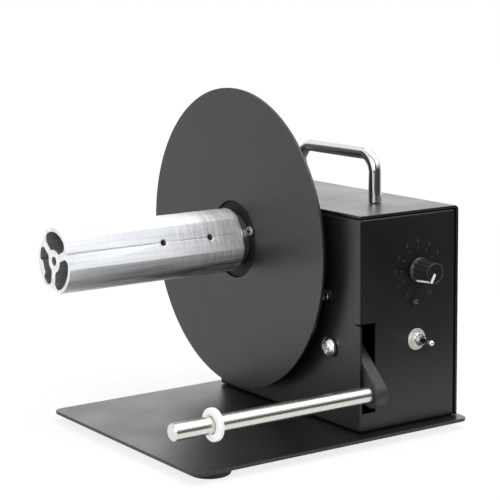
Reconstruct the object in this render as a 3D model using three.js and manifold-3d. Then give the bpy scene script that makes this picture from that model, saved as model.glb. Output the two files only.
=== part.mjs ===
// Label rewinder: a gear motor in a folded steel housing turns an aluminium spindle with a flange disc
// behind the roll, and a swing arm with a guide rod feels the label web.
// Millimetres, +Z up, control panel towards -Y. The machine is built with x = 0 on the disc's front face,
// y = 0 on the spindle axis and z = 0 under the feet. The last lines move it so that the origin is under
// the middle of the whole machine.
import * as THREE from "three";
import { mergeVertices } from "three/addons/utils/BufferGeometryUtils.js";
import Module from "manifold-3d";

const wasm = await Module();
wasm.setup();

// Clearances
const SEAT = 0.3; // left where one piece rests on another
const FIT = 0.3; // radial, round a screw, stud or pin in its hole
const RUN = 0.15; // radial, round a turning shaft
const OVERRUN = 2; // how far a cutter passes through what it cuts
const MERGE = 0.0001; // points closer than this are one point

// Base plate, flat steel on four rubber feet
const PLATE_T = 2;
const PLATE_CORNER_R = 6;
const PLATE_LEFT_REACH = 120; // from the housing's left wall
const PLATE_RIGHT_LIP = 2.5;
const PLATE_FRONT_LIP = 9.2;
const PLATE_REAR_LIP = 7.8;
const FOOT_H = 4.7;
const FOOT_D = 26;
const FOOT_TIP_D = 23.4;
const FOOT_EDGE = 1.2; // height of the straight band under the plate
const FOOT_SIDE_INSET = 20; // foot centres from the plate's left and right edges
const FOOT_END_INSET = 17; // left feet from the front and rear edges
const FOOT_RIGHT_INSET = 38; // right feet, set further back from the same edges
const FOOT_DISH_D = 12;
const FOOT_DISH_H = 1.6;

// Housing: a folded shell (left wall, front and rear panel, folds) and a bent cover (top and right side)
const HOUSING_W = 74.3;
const HOUSING_D = 151;
const HOUSING_H = 130;
const SHEET_T = 1.5;
const BEND_R = 2;
const COVER_BEND_R = 3;
const COVER_LIP = 0.5; // the cover stands proud of the front and rear panels
const FOLD_W = 12;
const FOLD_SLIT = 0.8; // mitre slit between two folds
const WALL_GAP = 8.8; // flange disc to left wall
const AXIS_ABOVE_PLATE = 102.5;
const AXIS_FROM_REAR = 34.8; // spindle axis to the rear panel

// Slot in the front left corner, for the swing arm
const SLOT_W = 11.6;
const SLOT_BOTTOM = 12;
const SLOT_TOP = 66;
const RELIEF_H = 1;
const RELIEF_D = 4;

// Screws that hold the housing on the plate and the cover on the folds, with pressed nuts in the folds
const SHEET_SCREW_R = 2;
const SHEET_SCREW_HEAD_R = 3.7;
const SHEET_SCREW_HEAD_H = 1.7;
const SHEET_SCREW_L = 7;
const PRESS_NUT_R = 3.6;
const PRESS_NUT_H = 2;
const BASE_SCREW_LEFT = 14; // from the left wall
const BASE_SCREW_RIGHT = 40;
const COVER_SCREW_LOW = 25; // above the plate
const COVER_SCREW_HIGH = 105;

// Carry handle, bent from round stainless rod
const HANDLE_D = 8;
const HANDLE_IN = 39.5; // from the left wall
const HANDLE_FRONT = 36.2; // front leg from the front panel
const HANDLE_REAR = 38.8; // rear leg from the rear panel
const HANDLE_RISE = 29.7; // housing top to the grip's centre line
const HANDLE_BEND_R = 11;
const HANDLE_SCREW_R = 2;
const HANDLE_SCREW_HEAD_R = 4.4;
const HANDLE_SCREW_HEAD_H = 2.2;
const HANDLE_SCREW_L = 11;

// Flange disc, hub and spindle
const DISC_D = 190;
const DISC_T = 2;
const DISC_HOLE_D = 48.6;
const HUB_FLANGE_D = 68;
const HUB_FLANGE_T = 3;
const HUB_SPIGOT_SINK = 1; // the spigot's face lies this far behind the disc's face
const DRIVE_BOSS_D = 34.6;
const DRIVE_SLEEVE_D = 18;
const DRIVE_SLEEVE_END = 9; // behind the disc's front face
const SPINDLE_BACK_GAP = 4.7; // spindle's cut end to the disc's front face
const SPINDLE_L = 122.2;
const SPINDLE_R = 19.9;
const FLAT_R = 17.5; // spindle axis to each flat
const GROOVE_W = 1.3;
const GROOVE_H = 0.8;
const SPINDLE_BOSS_R = 6.8;
const SPINDLE_BORE_R = 2.7;
const WEB_T = 4.6;
const CAVITY_R = 17.5;
const CAVITY_OUTER_FILLET = 3.8;
const CAVITY_INNER_FILLET = 2;
const PAD_R = 14.1; // axis to the flat land on one cavity's outer wall
const PAD_W = 7.4;
const PAD_FOOT_W = 10.4;
const TAPPED_R = 1.9;
const TAPPED_H = 6.5;
const TAPPED_FRONT = 66; // from the spindle's free end
const TAPPED_REAR = 99.4;
const STUD_R = 2.4;
const STUD_IN_SPINDLE = 22;
const STUD_IN_HUB = 3.2;
const SHAFT_R = 3;
const SHAFT_FLAT = 0.5;
const SHAFT_IN_GEARBOX = 10;
const SET_SCREW_R = 1.5;
const SET_SCREW_AT = 7.2; // behind the disc's front face

// Gear motor behind the left wall
const GEARBOX_R = 18.5;
const GEARBOX_L = 24;
const GEARBOX_DROP = 7; // spindle axis to the gearbox's own axis
const GEARBOX_BOSS_R = 6;
const GEARBOX_BOSS_OUT = 1.2; // beyond the wall's outer face
const GEARBOX_SCREW_PCR = 14.8;
const GEARBOX_SCREW_R = 1.5;
const GEARBOX_SCREW_HEAD_R = 2.8;
const GEARBOX_SCREW_HEAD_H = 1.6;
const GEARBOX_SCREW_L = 6;
const GEARBOX_RIM = 1.2;
const MOTOR_R = 16.7;
const MOTOR_L = 31;
const MOTOR_EDGE = 1.5;
const MOTOR_BOSS_R = 5;
const MOTOR_BOSS_H = 2;
const TERMINAL_W = 2.8;
const TERMINAL_T = 0.8;
const TERMINAL_H = 5;
const TERMINAL_SPREAD = 11;

// Swing arm, its pivot and the guide rod
const PIVOT_BACK = 28.4; // behind the front panel
const PIVOT_UP = 47.8; // above the plate
const ARM_L = 40.74;
const ARM_T = 8.2;
const ARM_INSET = 2.4; // arm's left face from the wall's outer face
const ARM_HUB_R = 15.3;
const ARM_END_R = 8.4;
const ARM_EDGE = 0.6;
const BUSH_R = 5;
const BUSH_FLANGE_R = 8;
const BUSH_FLANGE_T = 0.3;
const PIVOT_R = 3;
const PIVOT_HEAD_R = 6.1;
const PIVOT_HEAD_H = 3.4;
const PIVOT_WASHER_R = 6.5;
const PIVOT_WASHER_T = 1.2;
const PIVOT_NUT_AF = 10;
const PIVOT_NUT_T = 5;
const FLAG_T = 1.2;
const FLAG_W = 8;
const FLAG_R = 20.5; // pivot to the flag's tip
const STOP_R = 3;
const STOP_BACK = 8; // behind the front panel
const STOP_L = 9.5;
const ROD_R = 5;
const ROD_L = 135;
const ROD_CHAMFER = 0.9;
const ROD_SCREW_R = 2.5;
const ROD_SCREW_HEAD_R = 4.6;
const ROD_SCREW_HEAD_H = 2.4;
const ROD_SCREW_L = 17;
const COLLAR_R = 9.5;
const COLLAR_T = 3.6;
const COLLAR_EDGE = 0.5;
const COLLAR_OUT = 107.7; // collar's outer face from the left wall

// Slot sensor over the arm's flag, on a bracket held by the small wall screw
const SENSOR_GAP = 4.6;
const SENSOR_LEG_T = 2.4;
const SENSOR_W = 6.4;
const SENSOR_TIP_GAP = 1; // flag's tip to the sensor's bridge
const SENSOR_LEG_H = 5.2;
const SENSOR_BRIDGE_H = 2.4;
const BRACKET_T = 1.2;
const BRACKET_W = 12;
const BRACKET_H = 12;
const BRACKET_REACH = 12;
const SENSOR_SCREW_BACK = 4; // behind the pivot
const SENSOR_SCREW_UP = 30.7; // above the pivot
const SENSOR_SCREW_R = 1.5;
const SENSOR_SCREW_HEAD_R = 3;
const SENSOR_SCREW_HEAD_H = 1.8;
const SENSOR_SCREW_L = 5;

// Speed control: potentiometer, nut and knob
const KNOB_IN = 43.5; // from the left wall
const KNOB_UP = 94; // above the plate
const KNOB_OFF_PANEL = 0.6;
const KNOB_H = 15.4;
const KNOB_SKIRT_R = 7.7;
const KNOB_SKIRT_H = 2.6;
const KNOB_BASE_R = 7;
const KNOB_TOP_R = 6.1;
const KNOB_CAP_H = 0.9;
const KNOB_FLUTE_H = 0.45;
const KNOB_SHAFT_IN = 11.5;
const POINTER_W = 1.5;
const POINTER_PROUD = 0.25;
const POINTER_ROOT = 0.8;
const POT_R = 8.2;
const POT_H = 9;
const POT_BUSH_R = 3.6;
const POT_BUSH_OUT = 5;
const POT_SHAFT_R = 3;
const POT_SHAFT_OUT = 11;
const POT_SHAFT_IN = 3;
const POT_NUT_AF = 10;
const POT_NUT_T = 2;
const POT_TAB_W = 12;
const POT_TAB_H = 5;
const POT_TAB_T = 1.6;

// Toggle switch, three positions
const SWITCH_IN = 42; // from the left wall
const SWITCH_UP = 52.1; // above the plate
const SWITCH_W = 8;
const SWITCH_H = 13.2;
const SWITCH_D = 10.5;
const SWITCH_BUSH_R = 3;
const SWITCH_BUSH_OUT = 6.6;
const SWITCH_BORE_R = 1.9;
const SWITCH_MOUTH_R = 2.6;
const SWITCH_WASHER_R = 6.5;
const SWITCH_WASHER_T = 0.8;
const SWITCH_NUT_AF = 8;
const SWITCH_NUT_T = 2.2;
const SWITCH_PIN_W = 1.8;
const SWITCH_PIN_T = 0.8;
const SWITCH_PIN_L = 4;
const SWITCH_PIN_PITCH = 4.7;
const LEVER_PIVOT_OUT = 1.2; // pivot in front of the panel
const LEVER_BALL_R = 1.7;
const LEVER_NECK_R = 1;
const LEVER_TIP_R = 1.8;
const LEVER_OUT = 16; // tip in front of the panel

// Power lamp
const LAMP_IN = 41.5; // from the left wall
const LAMP_UP = 74.8; // above the plate
const LAMP_R = 2.5;
const LAMP_FLANGE_R = 2.9;
const LAMP_FLANGE_T = 1;
const LAMP_OUT = 1.6;
const LAMP_IN_DEPTH = 5;
const CLIP_R = 4.3;
const CLIP_T = 2.4;

// Power inlet on the rear panel
const JACK_IN = 37; // from the left wall
const JACK_UP = 24; // above the plate
const JACK_R = 4;
const JACK_BODY_R = 5.6;
const JACK_BODY_L = 12;
const JACK_OUT = 4;
const JACK_BORE_R = 2.75;
const JACK_BORE_H = 9;
const JACK_PIN_R = 1;
const JACK_PIN_SINK = 1;
const JACK_NUT_AF = 11;
const JACK_NUT_T = 2;

// Control board on four posts
const BOARD_W = 50;
const BOARD_D = 70;
const BOARD_T = 1.6;
const BOARD_IN = 14; // board's left edge from the left wall
const BOARD_REAR_GAP = 20; // board's rear edge to the rear panel's outer face
const POST_R = 3.5;
const POST_H = 7;
const POST_PIN_R = 1.4;
const POST_PIN_H = 4;
const POST_INSET = 5;
const CAPACITOR_R = 5;
const CAPACITOR_H = 13;
const RELAY_W = 15;
const RELAY_D = 19;
const RELAY_H = 15;
const SOCKET_W = 22;
const SOCKET_D = 8;
const SOCKET_H = 9;

// Turns and slopes, in degrees
const ARM_DROP_DEG = 33.7; // arm below the horizontal at rest
const SPINDLE_TURN_DEG = 21; // first web above the direction of the control panel
const POINTER_DEG = 30; // pointer left of straight down, at its lowest speed

// Counts of facets
const DISC_FACETS = 80;
const ROUND_FACETS = 32;
const PART_FACETS = 16;
const SCREW_FACETS = 12;
const ARC_STEPS = 4;
const BEND_STEPS = 2;
const GRIP_STEPS = 5;
const GRIP_SIDES = 16;
const KNOB_FLUTES = 14;

// Shares of the sizes that they follow: [of the radius, of the height]
const PAN_HEAD_SHARES = [[1, 0], [1, 0.4], [0.66, 1], [0, 1]];
const CROSS_LENGTH_SHARE = 1.1;
const CROSS_WIDTH_SHARE = 0.26;
const CROSS_DEPTH_SHARE = 0.55;
const NUT_CHAMFER_SHARE = 0.96;
const NUT_BEVEL_SHARE = 0.25;
const LAMP_DOME_SHARES = [[1, 0], [0.87, 0.5], [0.5, 0.87], [0, 1]];
const GEARBOX_RIM_SHARE = 0.125;
const RELAY_PLACE_SHARES = [0.5, 0.62];
const SOCKET_PLACE_SHARE = 0.25;
const CAPACITOR_ROW_SHARE = 0.25;
const CAPACITOR_PLACE_SHARES = [0.35, 0.55];

// Heights and faces that the pieces share
const PLATE_TOP = FOOT_H + SEAT + PLATE_T;
const WALL_X = DISC_T + WALL_GAP;
const WALL_IN_X = WALL_X + SHEET_T;
const REAR_Y = AXIS_FROM_REAR;
const FRONT_Y = REAR_Y - HOUSING_D;
const FRONT_IN_Y = FRONT_Y + SHEET_T;
const REAR_IN_Y = REAR_Y - SHEET_T;
const AXIS_Z = PLATE_TOP + AXIS_ABOVE_PLATE;
const HOUSING_TOP = PLATE_TOP + HOUSING_H;
const COVER_RIGHT = WALL_X + HOUSING_W;
const SHELL_RIGHT = COVER_RIGHT - SHEET_T - SEAT;
const SHELL_BOTTOM = PLATE_TOP + SEAT;
const SHELL_TOP = HOUSING_TOP - SHEET_T - SEAT;
const PLATE_LEFT = WALL_X - PLATE_LEFT_REACH;
const PLATE_RIGHT = COVER_RIGHT + PLATE_RIGHT_LIP;
const PLATE_FRONT = FRONT_Y - PLATE_FRONT_LIP;
const PLATE_REAR = REAR_Y + PLATE_REAR_LIP;
const PIVOT_Y = FRONT_Y + PIVOT_BACK;
const PIVOT_Z = PLATE_TOP + PIVOT_UP;
const ARM_DROP = THREE.MathUtils.degToRad(ARM_DROP_DEG);
const ROD_Y = PIVOT_Y - ARM_L * Math.cos(ARM_DROP);
const ROD_Z = PIVOT_Z - ARM_L * Math.sin(ARM_DROP);
const ARM_X = WALL_X + ARM_INSET;
const ARM_RIGHT = ARM_X + ARM_T;
const FLAG_X = ARM_X + ARM_T / 2;
const GEARBOX_X = WALL_IN_X + SEAT;
const GEARBOX_Z = AXIS_Z - GEARBOX_DROP;
const SENSOR_BRIDGE_Z = PIVOT_Z + FLAG_R + SENSOR_TIP_GAP;
const BRACKET_Z = SENSOR_BRIDGE_Z + SENSOR_BRIDGE_H + SEAT;
const BOARD_Z = PLATE_TOP + SEAT + POST_H + SEAT;

const RIGHT = new THREE.Vector3(1, 0, 0);
const LEFT = new THREE.Vector3(-1, 0, 0);
const BACK = new THREE.Vector3(0, 1, 0);
const FRONT = new THREE.Vector3(0, -1, 0);
const UP = new THREE.Vector3(0, 0, 1);
const DOWN = new THREE.Vector3(0, 0, -1);

const rad = THREE.MathUtils.degToRad;

// A closed geometry as a solid that can be joined and cut.
function solid(geometry) {
  const bare = geometry.index ? geometry.toNonIndexed() : geometry.clone();
  bare.deleteAttribute("normal");
  bare.deleteAttribute("uv");
  const merged = mergeVertices(bare, MERGE);
  return new wasm.Manifold(
    new wasm.Mesh({
      numProp: 3,
      vertProperties: merged.attributes.position.array,
      triVerts: new Uint32Array(merged.index.array),
    }),
  );
}

// A solid back as a geometry with flat faces.
function geometryOf(body) {
  const { vertProperties, triVerts } = body.getMesh();
  const indexed = new THREE.BufferGeometry();
  indexed.setAttribute("position", new THREE.BufferAttribute(new Float32Array(vertProperties), 3));
  indexed.setIndex(new THREE.BufferAttribute(new Uint32Array(triVerts), 1));
  const flat = indexed.toNonIndexed();
  flat.computeVertexNormals();
  return flat;
}

// Turn a geometry whose own axis is +Y so that the axis points along a direction from a place.
function aim(geometry, direction, x, y, z) {
  const turn = new THREE.Quaternion().setFromUnitVectors(BACK, direction);
  return geometry.clone().applyQuaternion(turn).translate(x, y, z);
}

// A turned piece: profile points are [radius, height], from the low end outwards and up.
function turned(profile, facets) {
  const points = profile.map(([radius, height]) => new THREE.Vector2(radius, height));
  return new THREE.LatheGeometry(points, facets);
}

function ring(inner, outer, height, facets) {
  return turned([[inner, 0], [outer, 0], [outer, height], [inner, height], [inner, 0]], facets);
}

function rodOf(radius, height, facets) {
  return turned([[0, 0], [radius, 0], [radius, height], [0, height]], facets);
}

function block(x0, x1, y0, y1, z0, z1) {
  const box = new THREE.BoxGeometry(x1 - x0, y1 - y0, z1 - z0);
  return box.translate((x0 + x1) / 2, (y0 + y1) / 2, (z0 + z1) / 2);
}

// An outline drawn in the Y-Z plane, given thickness along +X from a face.
function plateX(shape, x, thickness, options = {}) {
  const basis = new THREE.Matrix4().makeBasis(BACK, UP, RIGHT);
  const bevel = options.bevel || 0;
  const geometry = new THREE.ExtrudeGeometry(shape, {
    depth: thickness - 2 * bevel,
    bevelEnabled: bevel > 0,
    bevelThickness: bevel,
    bevelSize: bevel,
    bevelOffset: -bevel,
    bevelSegments: 1,
    curveSegments: options.steps || ARC_STEPS,
  });
  return geometry.translate(0, 0, bevel).applyMatrix4(basis).translate(x, 0, 0);
}

// An outline drawn in the X-Z plane, given thickness along +Y from a face.
function plateY(shape, y, thickness, steps = ARC_STEPS) {
  const basis = new THREE.Matrix4().makeBasis(RIGHT, UP, FRONT);
  const options = { depth: thickness, bevelEnabled: false, curveSegments: steps };
  const geometry = new THREE.ExtrudeGeometry(shape, options);
  return geometry.applyMatrix4(basis).translate(0, y + thickness, 0);
}

// An outline drawn in the X-Y plane, given thickness along +Z from a face.
function plateZ(shape, z, thickness, steps = ARC_STEPS) {
  const options = { depth: thickness, bevelEnabled: false, curveSegments: steps };
  const geometry = new THREE.ExtrudeGeometry(shape, options);
  return geometry.translate(0, 0, z);
}

function roundedRect(a0, a1, b0, b1, r) {
  const shape = new THREE.Shape();
  shape.absarc(a1 - r, b0 + r, r, -Math.PI / 2, 0, false);
  shape.absarc(a1 - r, b1 - r, r, 0, Math.PI / 2, false);
  shape.absarc(a0 + r, b1 - r, r, Math.PI / 2, Math.PI, false);
  shape.absarc(a0 + r, b0 + r, r, Math.PI, (3 * Math.PI) / 2, false);
  shape.closePath();
  return shape;
}

// A block whose twelve edges are rounded, as the intersection of three rounded prisms.
function roundedBlock(x0, x1, y0, y1, z0, z1, r) {
  const long = 2 * OVERRUN;
  const alongZ = solid(plateZ(roundedRect(x0, x1, y0, y1, r), z0 - OVERRUN, z1 - z0 + long, BEND_STEPS));
  const alongX = solid(
    plateX(roundedRect(y0, y1, z0, z1, r), x0 - OVERRUN, x1 - x0 + long, { steps: BEND_STEPS }),
  );
  const alongY = solid(plateY(roundedRect(x0, x1, z0, z1, r), y0 - OVERRUN, y1 - y0 + long, BEND_STEPS));
  return alongZ.intersect(alongX).intersect(alongY);
}

// A round cutter along a direction, starting one overrun before the place.
function drill(radius, depth, direction, x, y, z, facets = SCREW_FACETS) {
  const cutter = rodOf(radius, depth + OVERRUN, facets).translate(0, -OVERRUN, 0);
  return solid(aim(cutter, direction, x, y, z));
}

// A hexagon nut with a plain bore, lying on y = 0.
function nut(acrossFlats, thickness, boreR) {
  const hexagon = new THREE.Shape();
  const cornerR = acrossFlats / Math.sqrt(3);
  for (let corner = 0; corner < 6; corner++) {
    const turn = (corner * Math.PI) / 3;
    const point = [cornerR * Math.cos(turn), cornerR * Math.sin(turn)];
    corner ? hexagon.lineTo(...point) : hexagon.moveTo(...point);
  }
  hexagon.closePath();
  const prism = solid(plateY(hexagon, 0, thickness));
  const bore = drill(boreR, thickness + OVERRUN, BACK, 0, 0, 0, PART_FACETS);
  const bevel = thickness * NUT_BEVEL_SHARE;
  const faceR = cornerR * NUT_CHAMFER_SHARE;
  const cone = turned(
    [[0, 0], [faceR, 0], [cornerR, bevel], [cornerR, thickness - bevel], [faceR, thickness], [0, thickness]],
    PART_FACETS,
  );
  return geometryOf(prism.intersect(solid(cone)).subtract(bore));
}

// A pan-head screw with a cross recess. Its head stands on y = 0 towards +Y and its shank goes down.
function panScrew(headR, headH, shankR, length) {
  const head = PAN_HEAD_SHARES.map(([across, up]) => [headR * across, headH * up]);
  const body = turned([[0, -length], [shankR, -length], [shankR, 0], ...head], SCREW_FACETS);
  const armL = headR * CROSS_LENGTH_SHARE;
  const armW = headR * CROSS_WIDTH_SHARE;
  const depth = headH * CROSS_DEPTH_SHARE;
  const bar = block(-armL / 2, armL / 2, headH - depth, headH + depth, -armW / 2, armW / 2);
  const cross = solid(bar).add(solid(bar.clone().rotateY(Math.PI / 2)));
  return geometryOf(solid(body).subtract(cross));
}

const root = new THREE.Group();
root.name = "label_rewinder";
const machine = new THREE.Group();
root.add(machine);

function finish(colour, roughness, metalness) {
  return new THREE.MeshStandardMaterial({ color: colour, roughness, metalness });
}

const powderCoat = () => finish(0x242426, 0.55, 0.2);
const blackSteel = () => finish(0x151517, 0.6, 0.3);
const stainless = () => finish(0xd0cdc8, 0.25, 1);
const aluminium = () => finish(0xc9cbce, 0.4, 1);
const zincSteel = () => finish(0xb9bab8, 0.35, 1);
const chromed = () => finish(0xe2e2e2, 0.15, 1);
const brass = () => finish(0xb9994f, 0.4, 1);
const rubber = () => finish(0x121212, 0.9, 0);
const nylonWhite = () => finish(0xf0f0ee, 0.5, 0);
const blackPlastic = () => finish(0x18181a, 0.5, 0);
const castGrey = () => finish(0x3a3a3e, 0.7, 0.1);
const boardGreen = () => finish(0x1f5a36, 0.6, 0);
const lampRed = () => finish(0xb01818, 0.2, 0);
const whitePaint = () => finish(0xf4f4f2, 0.5, 0);

function add(name, shape, material, group = machine) {
  const geometry = shape.isBufferGeometry ? shape : geometryOf(shape);
  const mesh = new THREE.Mesh(geometry, material);
  mesh.name = name;
  group.add(mesh);
  return mesh;
}

// Places of the screws that repeat
const baseScrewPlaces = [];
for (const x of [WALL_X + BASE_SCREW_LEFT, WALL_X + BASE_SCREW_RIGHT])
  for (const y of [FRONT_Y + FOLD_W / 2, REAR_Y - FOLD_W / 2]) baseScrewPlaces.push([x, y]);
const coverScrewPlaces = [];
for (const y of [FRONT_Y + FOLD_W / 2, REAR_Y - FOLD_W / 2])
  for (const up of [COVER_SCREW_LOW, COVER_SCREW_HIGH]) coverScrewPlaces.push([y, PLATE_TOP + up]);
const handleLegs = [FRONT_Y + HANDLE_FRONT, REAR_Y - HANDLE_REAR];
const gearboxScrewPlaces = [];
for (const turn of [30, 150, 270])
  gearboxScrewPlaces.push([
    GEARBOX_SCREW_PCR * Math.cos(rad(turn)),
    GEARBOX_Z + GEARBOX_SCREW_PCR * Math.sin(rad(turn)),
  ]);

// Base plate and feet
function basePlate() {
  let plate = solid(plateZ(roundedRect(PLATE_LEFT, PLATE_RIGHT, PLATE_FRONT, PLATE_REAR, PLATE_CORNER_R),
    PLATE_TOP - PLATE_T, PLATE_T));
  for (const [x, y] of baseScrewPlaces)
    plate = plate.subtract(drill(SHEET_SCREW_R + FIT, PLATE_T + OVERRUN, DOWN, x, y, PLATE_TOP));
  return plate;
}

function foot() {
  const dish = FOOT_DISH_D / 2;
  const top = FOOT_D / 2;
  const tip = FOOT_TIP_D / 2;
  return turned(
    [[0, FOOT_DISH_H], [dish - FOOT_DISH_H / 2, FOOT_DISH_H], [dish, 0], [tip, 0], [top, FOOT_H - FOOT_EDGE],
      [top, FOOT_H], [0, FOOT_H]],
    PART_FACETS,
  );
}

add("base_plate", basePlate(), powderCoat());
const footXs = [PLATE_LEFT + FOOT_SIDE_INSET, PLATE_RIGHT - FOOT_SIDE_INSET];
const footInsets = [FOOT_END_INSET, FOOT_RIGHT_INSET];
["left", "right"].forEach((side, column) => {
  const inset = footInsets[column];
  add(`foot_front_${side}`, aim(foot(), UP, footXs[column], PLATE_FRONT + inset, 0), rubber());
  add(`foot_rear_${side}`, aim(foot(), UP, footXs[column], PLATE_REAR - inset, 0), rubber());
});

// Folded housing shell: the outer block has rounded bends, the inner block leaves the sheet,
// and one open core leaves the folds along the top, bottom and right edges.
function housingShell() {
  const inner = BEND_R - SHEET_T;
  let shell = roundedBlock(WALL_X, SHELL_RIGHT, FRONT_Y, REAR_Y, SHELL_BOTTOM, SHELL_TOP, BEND_R).subtract(
    roundedBlock(WALL_IN_X, SHELL_RIGHT - SHEET_T, FRONT_IN_Y, REAR_IN_Y, SHELL_BOTTOM + SHEET_T,
      SHELL_TOP - SHEET_T, inner),
  );
  shell = shell.subtract(
    solid(block(WALL_X + FOLD_W, SHELL_RIGHT + OVERRUN, FRONT_Y + FOLD_W, REAR_Y - FOLD_W,
      SHELL_BOTTOM - OVERRUN, SHELL_TOP + OVERRUN)),
  );
  const slitL = (FOLD_W - BEND_R) * Math.SQRT2;
  for (const z of [SHELL_BOTTOM, SHELL_TOP])
    for (const side of [1, -1]) {
      const middleY = side > 0 ? FRONT_Y + (FOLD_W + BEND_R) / 2 : REAR_Y - (FOLD_W + BEND_R) / 2;
      const slit = new THREE.BoxGeometry(slitL, FOLD_SLIT, 2 * SHEET_T + OVERRUN);
      slit.rotateZ((side * Math.PI) / 4).translate(WALL_X + (FOLD_W + BEND_R) / 2, middleY, z);
      shell = shell.subtract(solid(slit));
    }
  // Corner slot: the panel's strip is cut away, and the left wall runs on unbent to the corner.
  const slotZ0 = PLATE_TOP + SLOT_BOTTOM;
  const slotZ1 = PLATE_TOP + SLOT_TOP;
  const slotRight = WALL_X + SLOT_W;
  shell = shell
    .subtract(solid(block(WALL_X - OVERRUN, slotRight, FRONT_Y - OVERRUN, FRONT_Y + BEND_R, slotZ0, slotZ1)))
    .add(solid(block(WALL_X, WALL_IN_X, FRONT_Y, FRONT_Y + 2 * BEND_R, slotZ0, slotZ1 - RELIEF_H)))
    .subtract(
      solid(block(WALL_X - OVERRUN, WALL_IN_X + OVERRUN, FRONT_Y - OVERRUN, FRONT_Y + RELIEF_D,
        slotZ1 - RELIEF_H, slotZ1)),
    );
  // Pressed nuts on the folds
  for (const [x, y] of baseScrewPlaces)
    shell = shell
      .add(solid(aim(rodOf(PRESS_NUT_R, SHEET_T / 2 + PRESS_NUT_H, SCREW_FACETS), UP, x, y,
        SHELL_BOTTOM + SHEET_T / 2)))
      .subtract(drill(SHEET_SCREW_R + FIT, SHEET_T + PRESS_NUT_H + OVERRUN, UP, x, y, SHELL_BOTTOM));
  for (const [y, z] of coverScrewPlaces)
    shell = shell
      .add(solid(aim(rodOf(PRESS_NUT_R, SHEET_T / 2 + PRESS_NUT_H, SCREW_FACETS), LEFT,
        SHELL_RIGHT - SHEET_T / 2, y, z)))
      .subtract(drill(SHEET_SCREW_R + FIT, SHEET_T + PRESS_NUT_H + OVERRUN, LEFT, SHELL_RIGHT, y, z));
  // Holes in the left wall
  const wallHoles = [
    [GEARBOX_BOSS_R + FIT, 0, AXIS_Z],
    [PIVOT_R + FIT, PIVOT_Y, PIVOT_Z],
    [SENSOR_SCREW_R + FIT, PIVOT_Y + SENSOR_SCREW_BACK, PIVOT_Z + SENSOR_SCREW_UP],
    ...gearboxScrewPlaces.map(([y, z]) => [GEARBOX_SCREW_R + FIT, y, z]),
  ];
  for (const [radius, y, z] of wallHoles)
    shell = shell.subtract(drill(radius, SHEET_T + OVERRUN, RIGHT, WALL_X, y, z, PART_FACETS));
  // Holes in the front and rear panels
  const frontHoles = [
    [POT_BUSH_R + FIT, KNOB_IN, KNOB_UP],
    [SWITCH_BUSH_R + FIT, SWITCH_IN, SWITCH_UP],
    [LAMP_R + FIT, LAMP_IN, LAMP_UP],
  ];
  for (const [radius, along, up] of frontHoles)
    shell = shell.subtract(
      drill(radius, SHEET_T + OVERRUN, BACK, WALL_X + along, FRONT_Y, PLATE_TOP + up, PART_FACETS),
    );
  const jackAt = [WALL_X + JACK_IN, REAR_Y, PLATE_TOP + JACK_UP];
  return shell.subtract(drill(JACK_R + FIT, SHEET_T + OVERRUN, FRONT, ...jackAt, PART_FACETS));
}

// Bent cover: the top sheet lies on the shell's folds and turns down over the right side.
function housingCover() {
  const top = HOUSING_TOP;
  const right = COVER_RIGHT;
  const bendX = right - COVER_BEND_R;
  const bendZ = top - COVER_BEND_R;
  const profile = new THREE.Shape();
  profile.moveTo(WALL_X, top - SHEET_T);
  profile.absarc(bendX, bendZ, COVER_BEND_R - SHEET_T, Math.PI / 2, 0, true);
  profile.lineTo(right - SHEET_T, SHELL_BOTTOM);
  profile.lineTo(right, SHELL_BOTTOM);
  profile.absarc(bendX, bendZ, COVER_BEND_R, 0, Math.PI / 2, false);
  profile.lineTo(WALL_X, top);
  profile.closePath();
  let cover = solid(plateY(profile, FRONT_Y - COVER_LIP, HOUSING_D + 2 * COVER_LIP));
  for (const y of handleLegs)
    cover = cover.subtract(
      drill(HANDLE_SCREW_R + FIT, SHEET_T + OVERRUN, DOWN, WALL_X + HANDLE_IN, y, top),
    );
  for (const [y, z] of coverScrewPlaces)
    cover = cover.subtract(drill(SHEET_SCREW_R + FIT, SHEET_T + OVERRUN, LEFT, right, y, z));
  return cover;
}

add("housing_shell", housingShell(), powderCoat());
add("housing_cover", housingCover(), powderCoat());
baseScrewPlaces.forEach(([x, y], index) => {
  const screw = panScrew(SHEET_SCREW_HEAD_R, SHEET_SCREW_HEAD_H, SHEET_SCREW_R, SHEET_SCREW_L);
  add(`base_screw_${index + 1}`, aim(screw, DOWN, x, y, PLATE_TOP - PLATE_T - SEAT), zincSteel());
});
coverScrewPlaces.forEach(([y, z], index) => {
  const screw = panScrew(SHEET_SCREW_HEAD_R, SHEET_SCREW_HEAD_H, SHEET_SCREW_R, SHEET_SCREW_L);
  add(`cover_screw_${index + 1}`, aim(screw, RIGHT, COVER_RIGHT + SEAT, y, z), zincSteel());
});

// A route through given points, stepped point by point.
class Route extends THREE.Curve {
  constructor(points) {
    super();
    this.points = points;
  }
  getPoint(t, target = new THREE.Vector3()) {
    const last = this.points.length - 1;
    const from = Math.min(Math.floor(t * last), last - 1);
    return target.lerpVectors(this.points[from], this.points[from + 1], t * last - from);
  }
  getPointAt(u, target) {
    return this.getPoint(u, target);
  }
  getTangentAt(u, target = new THREE.Vector3()) {
    const last = this.points.length - 1;
    const at = Math.round(u * last);
    const before = this.points[Math.max(at - 1, 0)];
    const after = this.points[Math.min(at + 1, last)];
    return target.subVectors(after, before).normalize();
  }
}

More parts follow.
